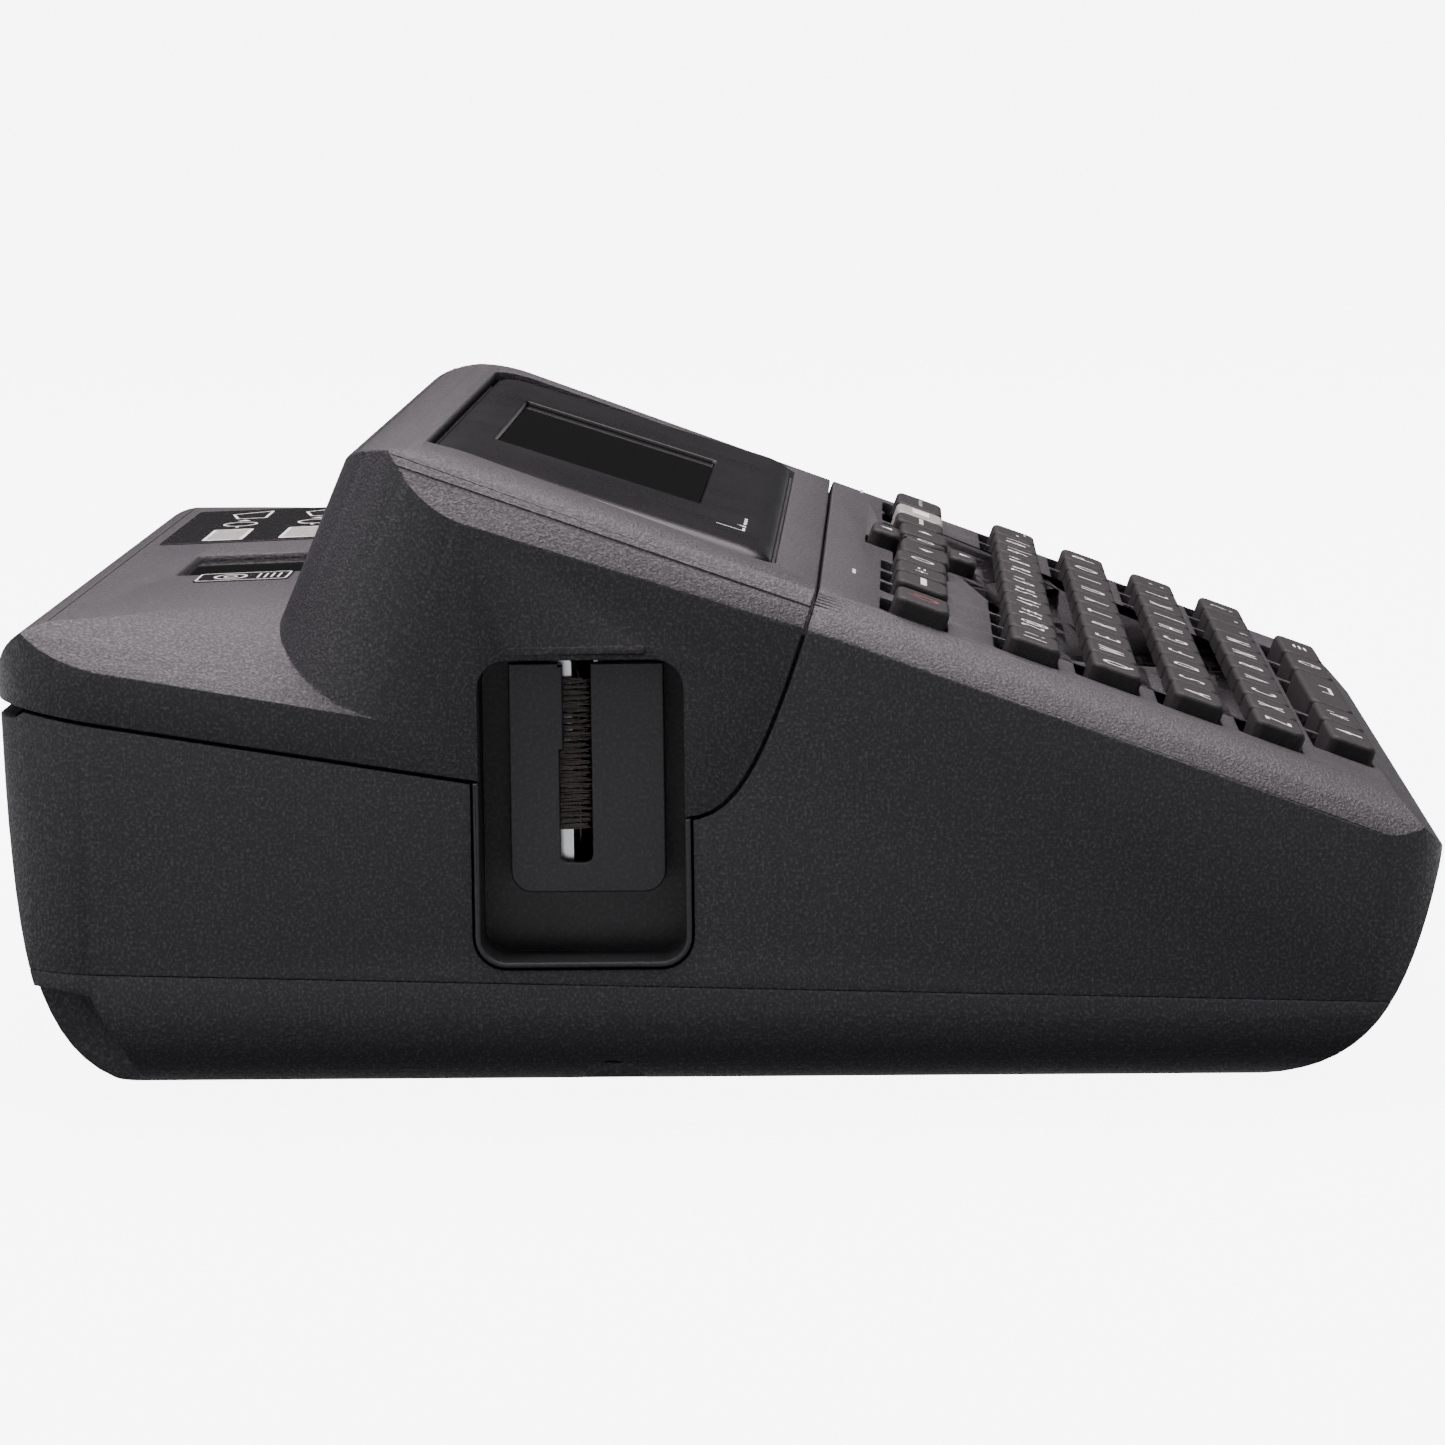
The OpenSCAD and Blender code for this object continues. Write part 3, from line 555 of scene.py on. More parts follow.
def copyOf(piece):
    made = bpy.data.objects.new("copy", piece.data.copy())
    bpy.context.scene.collection.objects.link(made)
    return made


# Keyboard layout, in the deck's frame
keys = {
    "rise": 2.5, "depth": 4, "length": 7.3, "space": 1.4, "corner": 1.5, "edge": 0.75,
    "gap": 0.4,                   # round each key in its hole
    "rearGap": 1.7,               # behind each key, where the hole shows dark
    "firstRow": -42.8, "rowPitch": 12.1,
    "rows": [(0, 11, 15.3), (1.5, 10, 16.5), (1.5, 10, 16.5), (3, 10, 16.5)],   # middle, count, pitch
    "bottomLength": 6.9,
    "bottom": [("shift_key", -64, -45), ("accent_key", -43, -24), ("space_bar", -21.5, 17),
               ("symbol_key", 19.5, 40.5), ("mode_key", 43, 65)],
    "functionRow": -26, "functionLength": 7.8,
    "function": [("power_key", -85.5, -71), ("function_key_1", -62, -49), ("function_key_2", -46.5, -33.5),
                 ("function_key_3", -31, -18), ("function_key_4", 31, 43.5), ("print_key", 46, 59),
                 ("clear_key", 61.5, 79)],
    "nav": (6.5, -30.5), "navArm": 21.5, "navReach": 8.4, "navWidth": 12, "okRadius": 3.2,
}


def rowSpans(index):
    middle, count, pitch = keys["rows"][index]
    half = (pitch - keys["space"]) / 2
    centres = [middle + (j - (count - 1) / 2) * pitch for j in range(count)]
    return [(x - half, x + half) for x in centres]


def rowRear(index):
    return keys["firstRow"] - index * keys["rowPitch"]


navX, navS = keys["nav"]


def keyHoles():
    gap, rear = keys["gap"], keys["rearGap"]
    spans = []
    for i in range(4):
        spans += [(a, b, rowRear(i), keys["length"]) for a, b in rowSpans(i)]
    spans += [(a, b, rowRear(4), keys["bottomLength"]) for name, a, b in keys["bottom"]]
    spans += [(a, b, keys["functionRow"], keys["functionLength"]) for name, a, b in keys["function"]]
    holes = [prism(roundBox(a - gap, b + gap, s - length - gap, s + rear, 1.4), -8, 6, deckFrame)
             for a, b, s, length in spans]
    a, b, h = keys["navArm"] + gap, keys["navWidth"] / 2 + gap, keys["functionLength"] / 2 + gap
    v = keys["navReach"] + gap
    plus = [(a, -h), (a, h), (b, h), (b, v), (-b, v), (-b, h), (-a, h), (-a, -h), (-b, -h), (-b, -v),
            (b, -v), (b, -h)]
    cross = prism(roundCorners([(navX + x, navS + y) for x, y in plus], 0.9, 4), -8, 6, deckFrame)
    return gather(holes + [cross])


# Bottom shell
base = {
    "screwX": 80, "screwY": (-50, 62), "footX": 68, "footY": (-62, 66),
    "bay": (47, -72, -17, 19.4),           # half width, front, rear, height
    "bayWall": 1.6, "hingeY": -70.2, "hingeZ": 2.6, "pinRadius": 0.8,
    "usb": (19.5, 28.5, 9, 14.2), "jack": (45, 14, 4.2),
    "notchX": -88, "notchWall": 1.8,        # flat notch at the rear left corner
    "notch": [(105, 17.0), (91.9, 16.6), (86.5, 15.8), (82.7, 9), (80.6, 4.6), (80, -5), (105, -5)],
    "thumb": (14.7, 1.4, 4.4),              # finger recess at the lower left edge
    "post": 4, "screwHole": 1.6, "headHole": 3.2, "headDepth": 2.2, "footHole": 6.2, "footDepth": 0.8,
}


def spots():
    return [(side * base["screwX"], y) for side in (-1, 1) for y in base["screwY"]]


def feet():
    return [(side * base["footX"], y) for side in (-1, 1) for y in base["footY"]]


bayX, bayFront, bayRear, bayTop = base["bay"]
bayWall = base["bayWall"]
shell = keep(copyOf(skin), belowParting())
add(shell, block((-bayX - bayWall, bayFront - bayWall, low + 0.5),
                 (bayX + bayWall, bayRear + bayWall, bayTop + bayWall)))
# The notch gets its own flat wall inside, so that the corner stays closed
notchWall = keep(envelope(0.05), prism(drawIn(base["notch"], -base["notchWall"]), base["notchX"],
                                       base["notchX"] + base["notchWall"], alongX), belowParting())
add(shell, notchWall)
add(shell, keep(gather([rod(x, y, low + 0.5, 30, base["post"]) for x, y in spots()]), belowParting()))
cut(shell, prism(base["notch"], -120, base["notchX"], alongX))
cut(shell, block((-bayX, bayFront, -1), (bayX, bayRear, bayTop)))
cut(shell, prism(arc(base["hingeY"], base["hingeZ"], base["pinRadius"] + 0.05, 0, 345, 23), -bayX - 1.3,
                 bayX + 1.3, alongX))
cut(shell, gather([rod(x, y, -1, 31, base["screwHole"]) for x, y in spots()]))
cut(shell, gather([rod(x, y, -1, low + base["headDepth"], base["headHole"]) for x, y in spots()]))
cut(shell, gather([rod(x, y, -1, low + base["footDepth"], base["footHole"]) for x, y in feet()]))
thumbY, thumbZ, thumbR = base["thumb"]
cut(shell, prism(arc(thumbY, thumbZ, thumbR, 0, 352, 44), -100, -halfWidth + 12, alongX))
x0, x1, z0, z1 = base["usb"]
cut(shell, prism(roundBox(x0, x1, z0, z1, 0.8), 85, 105, alongY))
jackX, jackZ, jackR = base["jack"]
cut(shell, prism(arc(jackX, jackZ, jackR, 0, 350, 35), 85, 105, alongY))


def shellEdges(edge, p):
    return 0.1 if abs(p.y) > 80 and abs(p.x) > 76 else 0.2


soften(shell, shellEdges, 0.4)
finishPiece(shell, "bottomShell", "housing", ["base_shell"], "charcoal_abs", even=False)
print("bottom shell made")

# Keyboard housing
hinge = {"y": 97.6, "z": 56.6, "pin": 1.2, "knuckle": 2.3, "inner": 44, "outer": 50, "ear": 5}
# The tongue behind the seam; the seam's points run from the rear to the front
lip = {"outer": 2.45, "inner": 3.4, "above": 2.4, "below": 3,
       "seam": [(88, 54.2), (70, 51.2), (32.7, 45.2), (4.1, 40)]}


def hingeRod(x0, x1, r):
    return prism(arc(hinge["y"], hinge["z"], r, 0, 350, 35), x0, x1, alongX)


housing = cut(copyOf(skin), belowParting(), prism(drawIn(coverZone, -form["seamGap"]), -far, far, alongX))
tongue = cut(envelope(lip["outer"]), envelope(lip["inner"]))
tongueLow = [(y, z - lip["below"]) for y, z in lip["seam"]]
tongueFront = [(-6, 40), (-12, 55), (-21, 76), (-21, 79), (-14, 76)]
tongueTurn = [(-7, 58), (-4, 48), (0, 42.5), (5, 40.4)]
tongueHigh = [(y, z + lip["above"]) for y, z in tongueTurn + lip["seam"][2::-1]]
keep(tongue, prism(tongueLow + tongueFront + tongueHigh, -far, far, alongX))
cut(tongue, block((-100, pocket["front"] - 3, pocket["bottom"] - 3), (-80, pocket["rear"] + 3, 80)))
add(housing, tongue)
screwPosts = gather([rod(x, y, 10, 32, base["post"]) for x, y in spots()])
add(housing, cut(screwPosts, belowParting()))
add(housing, gather([rod(x, s, -7, -2, 2, deckFrame) for x in (-86.6, 86.6) for s in (-84, -34)]))
cut(housing, pocketCut(pocket["bead"] + pocket["groove"]), keyHoles())
cut(housing, gather([rod(x, y, 10, 28, 1.2) for x, y in spots()]))
cut(housing, hingeRod(-far, far, 3))
ears = []
for side in (-1, 1):
    for x in (hinge["inner"] - hinge["ear"] - 0.4, hinge["outer"] + 0.4):
        x0, x1 = sorted((side * x, side * (x + hinge["ear"])))
        ear = add(hingeRod(x0, x1, hinge["knuckle"]), block((x0, 96.2, 50), (x1, 98.8, hinge["z"])))
        ears.append(cut(ear, hingeRod(x0 - 1, x1 + 1, hinge["pin"])))
add(housing, gather(ears))


def housingEdges(edge, p):
    if p.y < -87 and abs(p.x) > 82:
        return 0.1
    if abs(p.x) > halfWidth - 0.3 or (deckFrame.inverted() @ p).z > -0.3:
        return 0.28
    return 0.15


soften(housing, housingEdges, 0.4)
finishPiece(housing, "keyboardHousing", "housing", ["upper_housing"], "charcoal_abs", even=False)
print("housing made")

# Cover with the display hump
bezel = {
    "height": 76.75, "slope": 18.2, "front": -8.6, "back": 41.9, "frontWidth": 158, "backWidth": 149,
    "thickness": 2.4, "corner": 4, "roll": 4.6, "gap": 0.5,
    "window": (-38, 38, 3.7, 34.7), "lensTop": -0.6,
}
bezelFrame = (Matrix.Translation((0, 0, bezel["height"]))
              @ Matrix.Rotation(math.radians(bezel["slope"]), 4, "X"))
rearFall = math.atan2(1.0, 32.1)
rearDeckFrame = Matrix.Translation((0, *form["humpFoot"])) @ Matrix.Rotation(-rearFall, 4, "X")
cassetteView = {"x": (-30, 0), "y": (3, 21), "rim": 1.5}


def bezelOutline(grow=0.0, corner=4.0):
    f, b = bezel["frontWidth"] / 2, bezel["backWidth"] / 2
    quad = [(-f, bezel["front"]), (f, bezel["front"]), (b, bezel["back"]), (-b, bezel["back"])]
    return roundCorners(drawIn(quad, -grow), corner)


cover = keep(copyOf(skin), prism(coverZone, -far, far, alongX))
ledge = prism(bezelOutline(1.5), -bezel["thickness"] - 1.6, -bezel["thickness"], bezelFrame)
add(cover, keep(ledge, envelope(0.4)))
viewX, viewY, rim = cassetteView["x"], cassetteView["y"], cassetteView["rim"]
add(cover, block((viewX[0] - 3, viewY[0] - 1.5, -4), (viewX[1] + 3, viewY[1] + 3, -1), rearDeckFrame))
add(cover, gather([hingeRod(*sorted((side * hinge["inner"], side * hinge["outer"])), hinge["knuckle"])
                   for side in (-1, 1)]))
cut(cover, prism(bezelOutline(bezel["gap"]), -bezel["thickness"], 12, bezelFrame))
cut(cover, prism(bezelOutline(-5), -12, 2, bezelFrame))


# An opening whose walls slope out towards the top
def slopedOpening(x0, x1, y0, y1, steps, place, corner=0.8):
    rings = []
    for height, grow in steps:
        ring = roundBox(x0 - grow, x1 + grow, y0 - grow, y1 + grow, corner + grow)
        rings.append([(x, y, height) for x, y in ring])
    return loft(rings, place)


cut(cover, slopedOpening(*viewX, *viewY, [(-1.8, 0), (-0.8, 0), (0.4, 0.6)], rearDeckFrame))
cut(cover, block((viewX[0] + rim, viewY[0] + rim, -6), (viewX[1] - rim, viewY[1] - rim, 0), rearDeckFrame))
cut(cover, pocketCut())
y0, y1, z0, z1 = pocket["visor"]
add(cover, prism(roundBox(y0, y1, z0, z1, 0.5), -96, -halfWidth + 1, alongX))
for side in (-1, 1):
    for x in (hinge["inner"] - hinge["ear"] - 0.8, hinge["outer"]):
        cut(cover, hingeRod(*sorted((side * x, side * (x + hinge["ear"] + 0.8))), hinge["knuckle"] + 0.5))
    ends = sorted((side * (hinge["inner"] - 1), side * (hinge["outer"] + 1)))
    cut(cover, hingeRod(*ends, hinge["pin"] + 0.05))
leanFrame = Matrix.Rotation(lean, 4, "X").inverted()


def onHumpRim(edge):
    for vert in edge.verts:
        q = leanFrame @ vert.co
        dx = max(abs(q.x) - (halfWidth - humpRadius), 0)
        dy = max(q.y - (humpBack - humpRadius), 0)
        if dy == 0 or abs(math.hypot(dx, dy) - humpRadius) > 0.12 or vert.co.z < 76:
            return False
    return True


def coverEdges(edge, p):
    if abs(p.x) > halfWidth - 2.5 and p.y > 25 and p.z > 62:
        return 0
    return 0.4 if onHumpRim(edge) and abs(p.x) < halfWidth - 6 else 0.2


soften(cover, coverEdges, 0.4)
finishPiece(cover, "displayCover", "cover", ["cover_shell"], "charcoal_abs", even=False)
print("cover made")

# Bezel, windows and labels
roll = bezel["roll"]
rings = [[(x, y, -bezel["thickness"]) for x, y in bezelOutline()]]
for i in range(7):
    a = math.radians(90 * i / 6)
    ring = bezelOutline(-roll * (1 - math.cos(a)), bezel["corner"] - 0.6 * roll * (1 - math.cos(a)))
    rings.append([(x, y, -0.42 * roll * (1 - math.sin(a))) for x, y in ring])
frameTop = loft(rings, bezelFrame)
cut(frameTop, slopedOpening(*bezel["window"], [(-4, 0), (bezel["lensTop"], 0), (0.3, 0.5)], bezelFrame, 0.5))
soften(frameTop, lambda edge, p: 0.15 if abs(p.x) < 42 else 0, 0.15)
finishPiece(frameTop, "displayBezel", "cover", ["display_bezel"], "bezel_abs", smooth=50)
x0, x1, y0, y1 = bezel["window"]
lens = softSlab(x0 + 0.05, x1 - 0.05, y0 + 0.05, y1 - 0.05, -bezel["thickness"], bezel["lensTop"], 0.5, 0.2,
                bezelFrame)
finishPiece(lens, "displayLens", "cover", ["display_lens"], "window_acrylic")
glass = softSlab(viewX[0] + 0.1, viewX[1] - 0.1, viewY[0] + 0.1, viewY[1] - 0.1, -1.8, -0.8, 0.8, 0.25,
                 rearDeckFrame)
finishPiece(glass, "cassetteWindow", "cover", ["cassette_window"], "window_acrylic")

labelSize = {"x": (20, 76), "y": (4, 30), "stickerX": (-42, -31), "stickerY": (3.5, 17.5), "thick": 0.15}
sheet = softSlab(*labelSize["x"], *labelSize["y"], 0.0, labelSize["thick"], 1, 0.05, rearDeckFrame)
finishPiece(sheet, "instructionLabel", "cover", ["instruction_label"], "label_vinyl")
sticker = softSlab(*labelSize["stickerX"], *labelSize["stickerY"], 0.0, labelSize["thick"], 1, 0.05,
                   rearDeckFrame)
finishPiece(sticker, "windowSticker", "cover", ["window_sticker"], "label_vinyl")


inkThick = 0.03


# Printed marks: a mark is a thin slab; a line runs between two points and has a width
def mark(points, place, height=0.0):
    return prism(points, height, height + inkThick, place)


def line(a, b, width, place, height=0.0):
    a, b = Vector(a), Vector(b)
    side = Vector((a.y - b.y, b.x - a.x)).normalized() * width / 2
    return mark([a + side, a - side, b - side, b + side], place, height)


def ringMark(x, y, rx, ry, width, place, height=0.0, n=20, skip=0):
    parts = []
    for i in range(skip, n - skip):
        a, b = 2 * math.pi * i / n, 2 * math.pi * (i + 1) / n
        parts.append(line((x + rx * math.cos(a), y + ry * math.sin(a)),
                          (x + rx * math.cos(b), y + ry * math.sin(b)), width, place, height))
    return parts


def glyph(text, x, s, size, place, height):
    words = bpy.data.curves.new("words", "FONT")
    words.body = text
    words.size = size
    words.align_x = "CENTER"
    words.align_y = "CENTER"
    words.extrude = 0.015
    words.resolution_u = 3
    holder = bpy.data.objects.new("words", words)
    bpy.context.scene.collection.objects.link(holder)
    made = bpy.data.objects.new("words", bpy.data.meshes.new_from_object(
        holder.evaluated_get(bpy.context.evaluated_depsgraph_get())))
    bpy.context.scene.collection.objects.link(made)
    bpy.data.objects.remove(holder)
    made.data.transform(place @ Matrix.Translation((x, s, height)))
    return made


keyTop = keys["rise"] + 0.012
markSlot = "key_rubber"


def finishMarks(parts, name, body, ink, slot):
    if parts:
        finishPiece(gather(parts), name, body, [], slot, ink)


# Keys
def keyCap(x0, x1, s0, s1):
    return softSlab(x0, x1, s0, s1, -keys["depth"], keys["rise"], keys["corner"], keys["edge"], deckFrame)


legend = {"digit": (-2.4, 5), "shifted": (2.6, 4.4), "letter": (-1.6, 5.6)}    # offset and size
legends = [list("1234567890-"), list("qwertyuiop"), list("asdfghjkl:"), list("zxcvbnm,.?")]
upper = list("!@#$%^&*()_")
for i in range(4):
    name = f"key_row_{i + 1}"
    rear = rowRear(i)
    spans = rowSpans(i)
    row = gather([keyCap(a, b, rear - keys["length"], rear) for a, b in spans])
    finishPiece(row, f"keyRow{i + 1}", name, [name], "key_rubber", smooth=40)
    parts = []
    middle = rear - keys["length"] / 2
    for (a, b), letter, other in zip(spans, legends[i], upper):
        x = (a + b) / 2
        if i == 0:
            signs = ((letter, legend["digit"]), (other, legend["shifted"]))
        else:
            signs = ((letter.upper(), legend["letter"]),)
        for sign, (offset, size) in signs:
            parts.append(glyph(sign, x + offset, middle, size, deckFrame, keyTop))
    finishMarks(parts, f"keyRow{i + 1}Legends", name, whiteInk, markSlot)
print("key rows made")


def arrowMarks(x, s, dx, ds, size, place=deckFrame, height=keyTop):
    tip = Vector((x + dx * size, s + ds * size))
    back = Vector((x - dx * size * 0.6, s - ds * size * 0.6))
    side = Vector((-ds, dx)) * size * 0.9
    return [mark([tip, back + side, back - side], place, height)]


bottomRear = rowRear(4)
for name, a, b in keys["bottom"]:
    cap = keyCap(a, b, bottomRear - keys["bottomLength"], bottomRear)
    finishPiece(cap, name.replace("_k", "K").replace("_b", "B"), name, [name], "key_rubber", smooth=40)
    x, s = (a + b) / 2, bottomRear - keys["bottomLength"] / 2
    parts = []
    if name == "shift_key":
        parts = arrowMarks(x, s + 0.8, 0, 1, 1.5)
        parts.append(mark(box(x - 0.6, x + 0.6, s - 1.8, s), deckFrame, keyTop))
    elif name == "accent_key":
        parts = [glyph("A", x - 1.6, s, 4.2, deckFrame, keyTop),
                 glyph("'", x + 1.6, s, 4.2, deckFrame, keyTop)]
    elif name == "space_bar":
        parts = [line((x - 4, s - 1), (x + 4, s - 1), 0.5, deckFrame, keyTop),
                 line((x - 4, s - 1), (x - 4, s + 0.6), 0.5, deckFrame, keyTop),
                 line((x + 4, s - 1), (x + 4, s + 0.6), 0.5, deckFrame, keyTop)]
    elif name == "symbol_key":
        parts = ringMark(x, s, 1.7, 1.7, 0.4, deckFrame, keyTop) + [
            line((x - 0.7, s - 0.5), (x + 0.7, s - 0.5), 0.35, deckFrame, keyTop)]
    else:
        parts = [line((x - 2, s + 0.9 - k * 0.9), (x + 2, s + 0.9 - k * 0.9), 0.4, deckFrame, keyTop)
                 for k in range(3)]
    finishMarks(parts, name.replace("_", "") + "Legend", name, whiteInk, markSlot)

functionRear = keys["functionRow"]
functionMiddle = functionRear - keys["functionLength"] / 2
for name, a, b in keys["function"]:
    cap = keyCap(a, b, functionRear - keys["functionLength"], functionRear)
    slot = "grey_key_rubber" if name == "print_key" else "key_rubber"
    finishPiece(cap, name.replace("_", "") + "Cap", name, [name], slot, smooth=40)
    x, s = (a + b) / 2, functionMiddle
    ink = whiteInk
    if name == "power_key":
        gapUp = (deckFrame @ Matrix.Translation((x, s, 0)) @ Matrix.Rotation(math.pi / 2, 4, "Z")
                 @ Matrix.Translation((-x, -s, 0)))
        parts = ringMark(x, s, 1.9, 1.9, 0.45, gapUp, keyTop, skip=2)
        parts += [line((x, s + 0.4), (x, s + 2.4), 0.45, deckFrame, keyTop)]
        ink = redInk
    elif name == "function_key_1":
        parts = [line((x - 4.5, s), (x + 4.5, s), 0.9, deckFrame, keyTop)]
    elif name == "function_key_2":
        parts = [glyph("+", x - 2, s, 4, deckFrame, keyTop), glyph("=", x + 2, s, 4, deckFrame, keyTop)]
    elif name == "function_key_3":
        parts = ringMark(x, s, 1.6, 1.6, 0.4, deckFrame, keyTop)
    elif name == "function_key_4":
        parts = [line((x - 4 + k * 2.2, s), (x - 2.6 + k * 2.2, s), 0.7, deckFrame, keyTop) for k in range(4)]
    elif name == "print_key":
        parts = [mark(box(x - 3.6, x + 3.6, s - 1.4, s + 1.4), deckFrame, keyTop)]
    else:
        parts = [line((x - 5 + k * 2.6, s), (x - 3.4 + k * 2.6, s), 0.6, deckFrame, keyTop) for k in range(4)]
        ink = greyInk
    finishMarks(parts, name.replace("_", "") + "Legend", name, ink, markSlot)

arm, reach, half = keys["navArm"], keys["navReach"], keys["functionLength"] / 2
wide = keys["navWidth"] / 2
pad = gather([keyCap(navX - arm, navX - wide - 0.5, navS - half, navS + half),
              keyCap(navX + wide + 0.5, navX + arm, navS - half, navS + half),
              keyCap(navX - wide, navX + wide, navS + half + 0.1, navS + reach),
              keyCap(navX - wide, navX + wide, navS - reach, navS - half - 0.1)])
hub = softSlab(navX - wide, navX + wide, navS - half + 0.35, navS + half - 0.35, -keys["depth"], 2.2,
               1.5, 0.6, deckFrame)
cut(hub, rod(navX, navS, -10, 10, keys["okRadius"] + 0.35, deckFrame))
web = block((navX - arm + 1, navS - 2.6, -keys["depth"]), (navX + arm - 1, navS + 2.6, 0.6), deckFrame)
cut(web, rod(navX, navS, -10, 10, keys["okRadius"] + 0.35, deckFrame))
finishPiece(gather([pad, hub, web]), "navPad", "nav_pad", ["nav_pad"], "key_rubber", smooth=40)
arrows = (arrowMarks(navX - arm * 0.66, navS, -1, 0, 1.3) + arrowMarks(navX + arm * 0.66, navS, 1, 0, 1.3)
          + arrowMarks(navX, navS + 6.2, 0, 1, 1.2) + arrowMarks(navX, navS - 6.2, 0, -1, 1.2))
finishMarks(arrows, "navArrows", "nav_pad", whiteInk, markSlot)
okRings = [[(x, y, -keys["depth"]) for x, y in arc(navX, navS, keys["okRadius"], 0, 350, 35)]]
for i in range(5):
    a = math.radians(90 * i / 4)
    r = keys["okRadius"] - 0.7 * (1 - math.cos(a))
    okRings.append([(x, y, 2.5 - 0.7 * (1 - math.sin(a))) for x, y in arc(navX, navS, r, 0, 350, 35)])
finishPiece(loft(okRings, deckFrame), "okKey", "ok_key", ["ok_key"], "key_rubber", smooth=40)
finishMarks(ringMark(navX, navS, 1.2, 1.2, 0.35, deckFrame, keyTop), "okRing", "ok_key", whiteInk, markSlot)
print("keys made")


# Exit pocket on the left side
liner = prism(pocketOutline(pocket["bead"]), -96, -84.5, alongX)
cut(liner, prism(pocketOutline(), -100, pocket["depth"], alongX))
cut(liner, prism(drawIn(coverZone, -0.3), -100, -92.9, alongX))
cut(liner, prism(box(16.2, 22.2, 32.2, 61), -88, -84, alongX))
soften(liner, lambda edge, p: 0.36 if p.x < -95.5 else 0.12, 0.36, 3)
finishPiece(liner, "exitPocketLiner", "housing", ["exit_pocket"], "inner_abs")

guide = {"x": (-91.5, -90), "y": (6.9, 28.3), "z": (29.1, 60.9), "slot": (17.0, 21.4, 33.2), "corner": 3}
gy0, gy1 = guide["y"]
gz0, gz1 = guide["z"]
corner = guide["corner"]
plateOutline = (arc(gy0 + corner, gz0 + corner, corner, 180, 270, 8)
                + arc(gy1 - corner, gz0 + corner, corner, 270, 360, 8) + [(gy1, gz1), (gy0, gz1)])
plate = prism(plateOutline, *guide["x"], alongX)
for y in (8.1, 25.2):
    add(plate, block((-90.5, y, 31), (pocket["depth"] + 0.2, y + 1.8, 57)))
sy0, sy1, sz = guide["slot"]
cut(plate, prism(roundBox(sy0, sy1, sz, 75, 1.1), -100, -80, alongX))
add(plate, block((-91.5, sy1 - 0.55, 48.8), (-90, sy1 + 0.5, gz1 - 0.4)))     # narrower above the notch
soften(plate, lambda edge, p: 0.3 if p.x < -91.2 else 0.1, 0.3, 3)
finishPiece(plate, "exitGuide", "housing", ["exit_guide"], "inner_abs")

brush = {"low": 37.6, "high": 58.6, "tufts": 26, "fibres": 15, "root": 21.7, "tip": 17.3, "x": -89.3}
random.seed(4)
fibres = []
for tuft in range(brush["tufts"]):
    z = brush["low"] + (tuft + 0.5) * (brush["high"] - brush["low"]) / brush["tufts"]
    for k in range(brush["fibres"]):
        start = Vector((brush["x"] + random.uniform(-0.35, 0.35), brush["root"],
                        z + random.uniform(-0.4, 0.4)))
        end = Vector((brush["x"] + random.uniform(-0.4, 0.3), brush["tip"] + random.uniform(-0.2, 1.1),
                      z + random.uniform(-0.2, 0.2) + random.choice((0, 0, 0.25))))
        middle = start.lerp(end, 0.5) + Vector((random.uniform(-0.15, 0.05), 0, random.uniform(-0.12, 0.12)))
        rings = []
        for spot, width in ((start, 0.085), (middle, 0.08), (end, 0.05)):
            rings.append([(spot.x + dx * width, spot.y, spot.z + dz * width)
                          for dx, dz in ((-1, -1), (1, -1), (1, 1), (-1, 1))])
        fibres.append(loft(rings))
finishPiece(gather(fibres), "brushFibres", "housing", ["brush_strip"], "brush_fibre")
strip = softSlab(19.7, 22.6, 32.6, 61.0, 88.2, 88.5, 0.4, 0.1, Matrix.Scale(-1, 4, (1, 0, 0)) @ alongX)
finishPiece(strip, "brushHolder", "housing", [], "plated_steel")
print("pocket made")

# Underside
door = {
    "gap": 0.35, "front": 1.0, "thick": 1.8,
    "ribs": 6, "ribDepth": 0.5, "ribStart": 3.9, "ribPitch": 2.2, "ribWidth": 1.1,    # finger grooves
}
doorX, doorY0, doorY1 = bayX - door["gap"], bayFront + door["front"], bayRear - door["gap"]
flap = prism(roundBox(-doorX, doorX, doorY0, doorY1, 1.2), low, low + door["thick"])
grooves = []
for i in range(door["ribs"]):
    rear = doorY1 - door["ribStart"] - i * door["ribPitch"]
    grooves.append(prism(roundBox(-12, 12, rear - door["ribWidth"], rear, 0.5), low - 1,
                         low + door["ribDepth"]))
pinRing = arc(base["hingeY"], base["hingeZ"], base["pinRadius"], 0, 345, 23)
add(flap, prism(pinRing, -bayX - 1, -bayX + 4, alongX), prism(pinRing, bayX - 4, bayX + 1, alongX))
soften(flap, lambda edge, p: 0.2 if abs(p.x) < doorX + 0.1 else 0, 0.2)
cut(flap, gather(grooves))
cut(flap, prism([(-3, doorY1 - 19), (3, doorY1 - 19), (0, doorY1 - 16)], low - 1, low + 0.4))
finishPiece(flap, "batteryDoor", "battery_cover", ["battery_door"], "charcoal_abs")

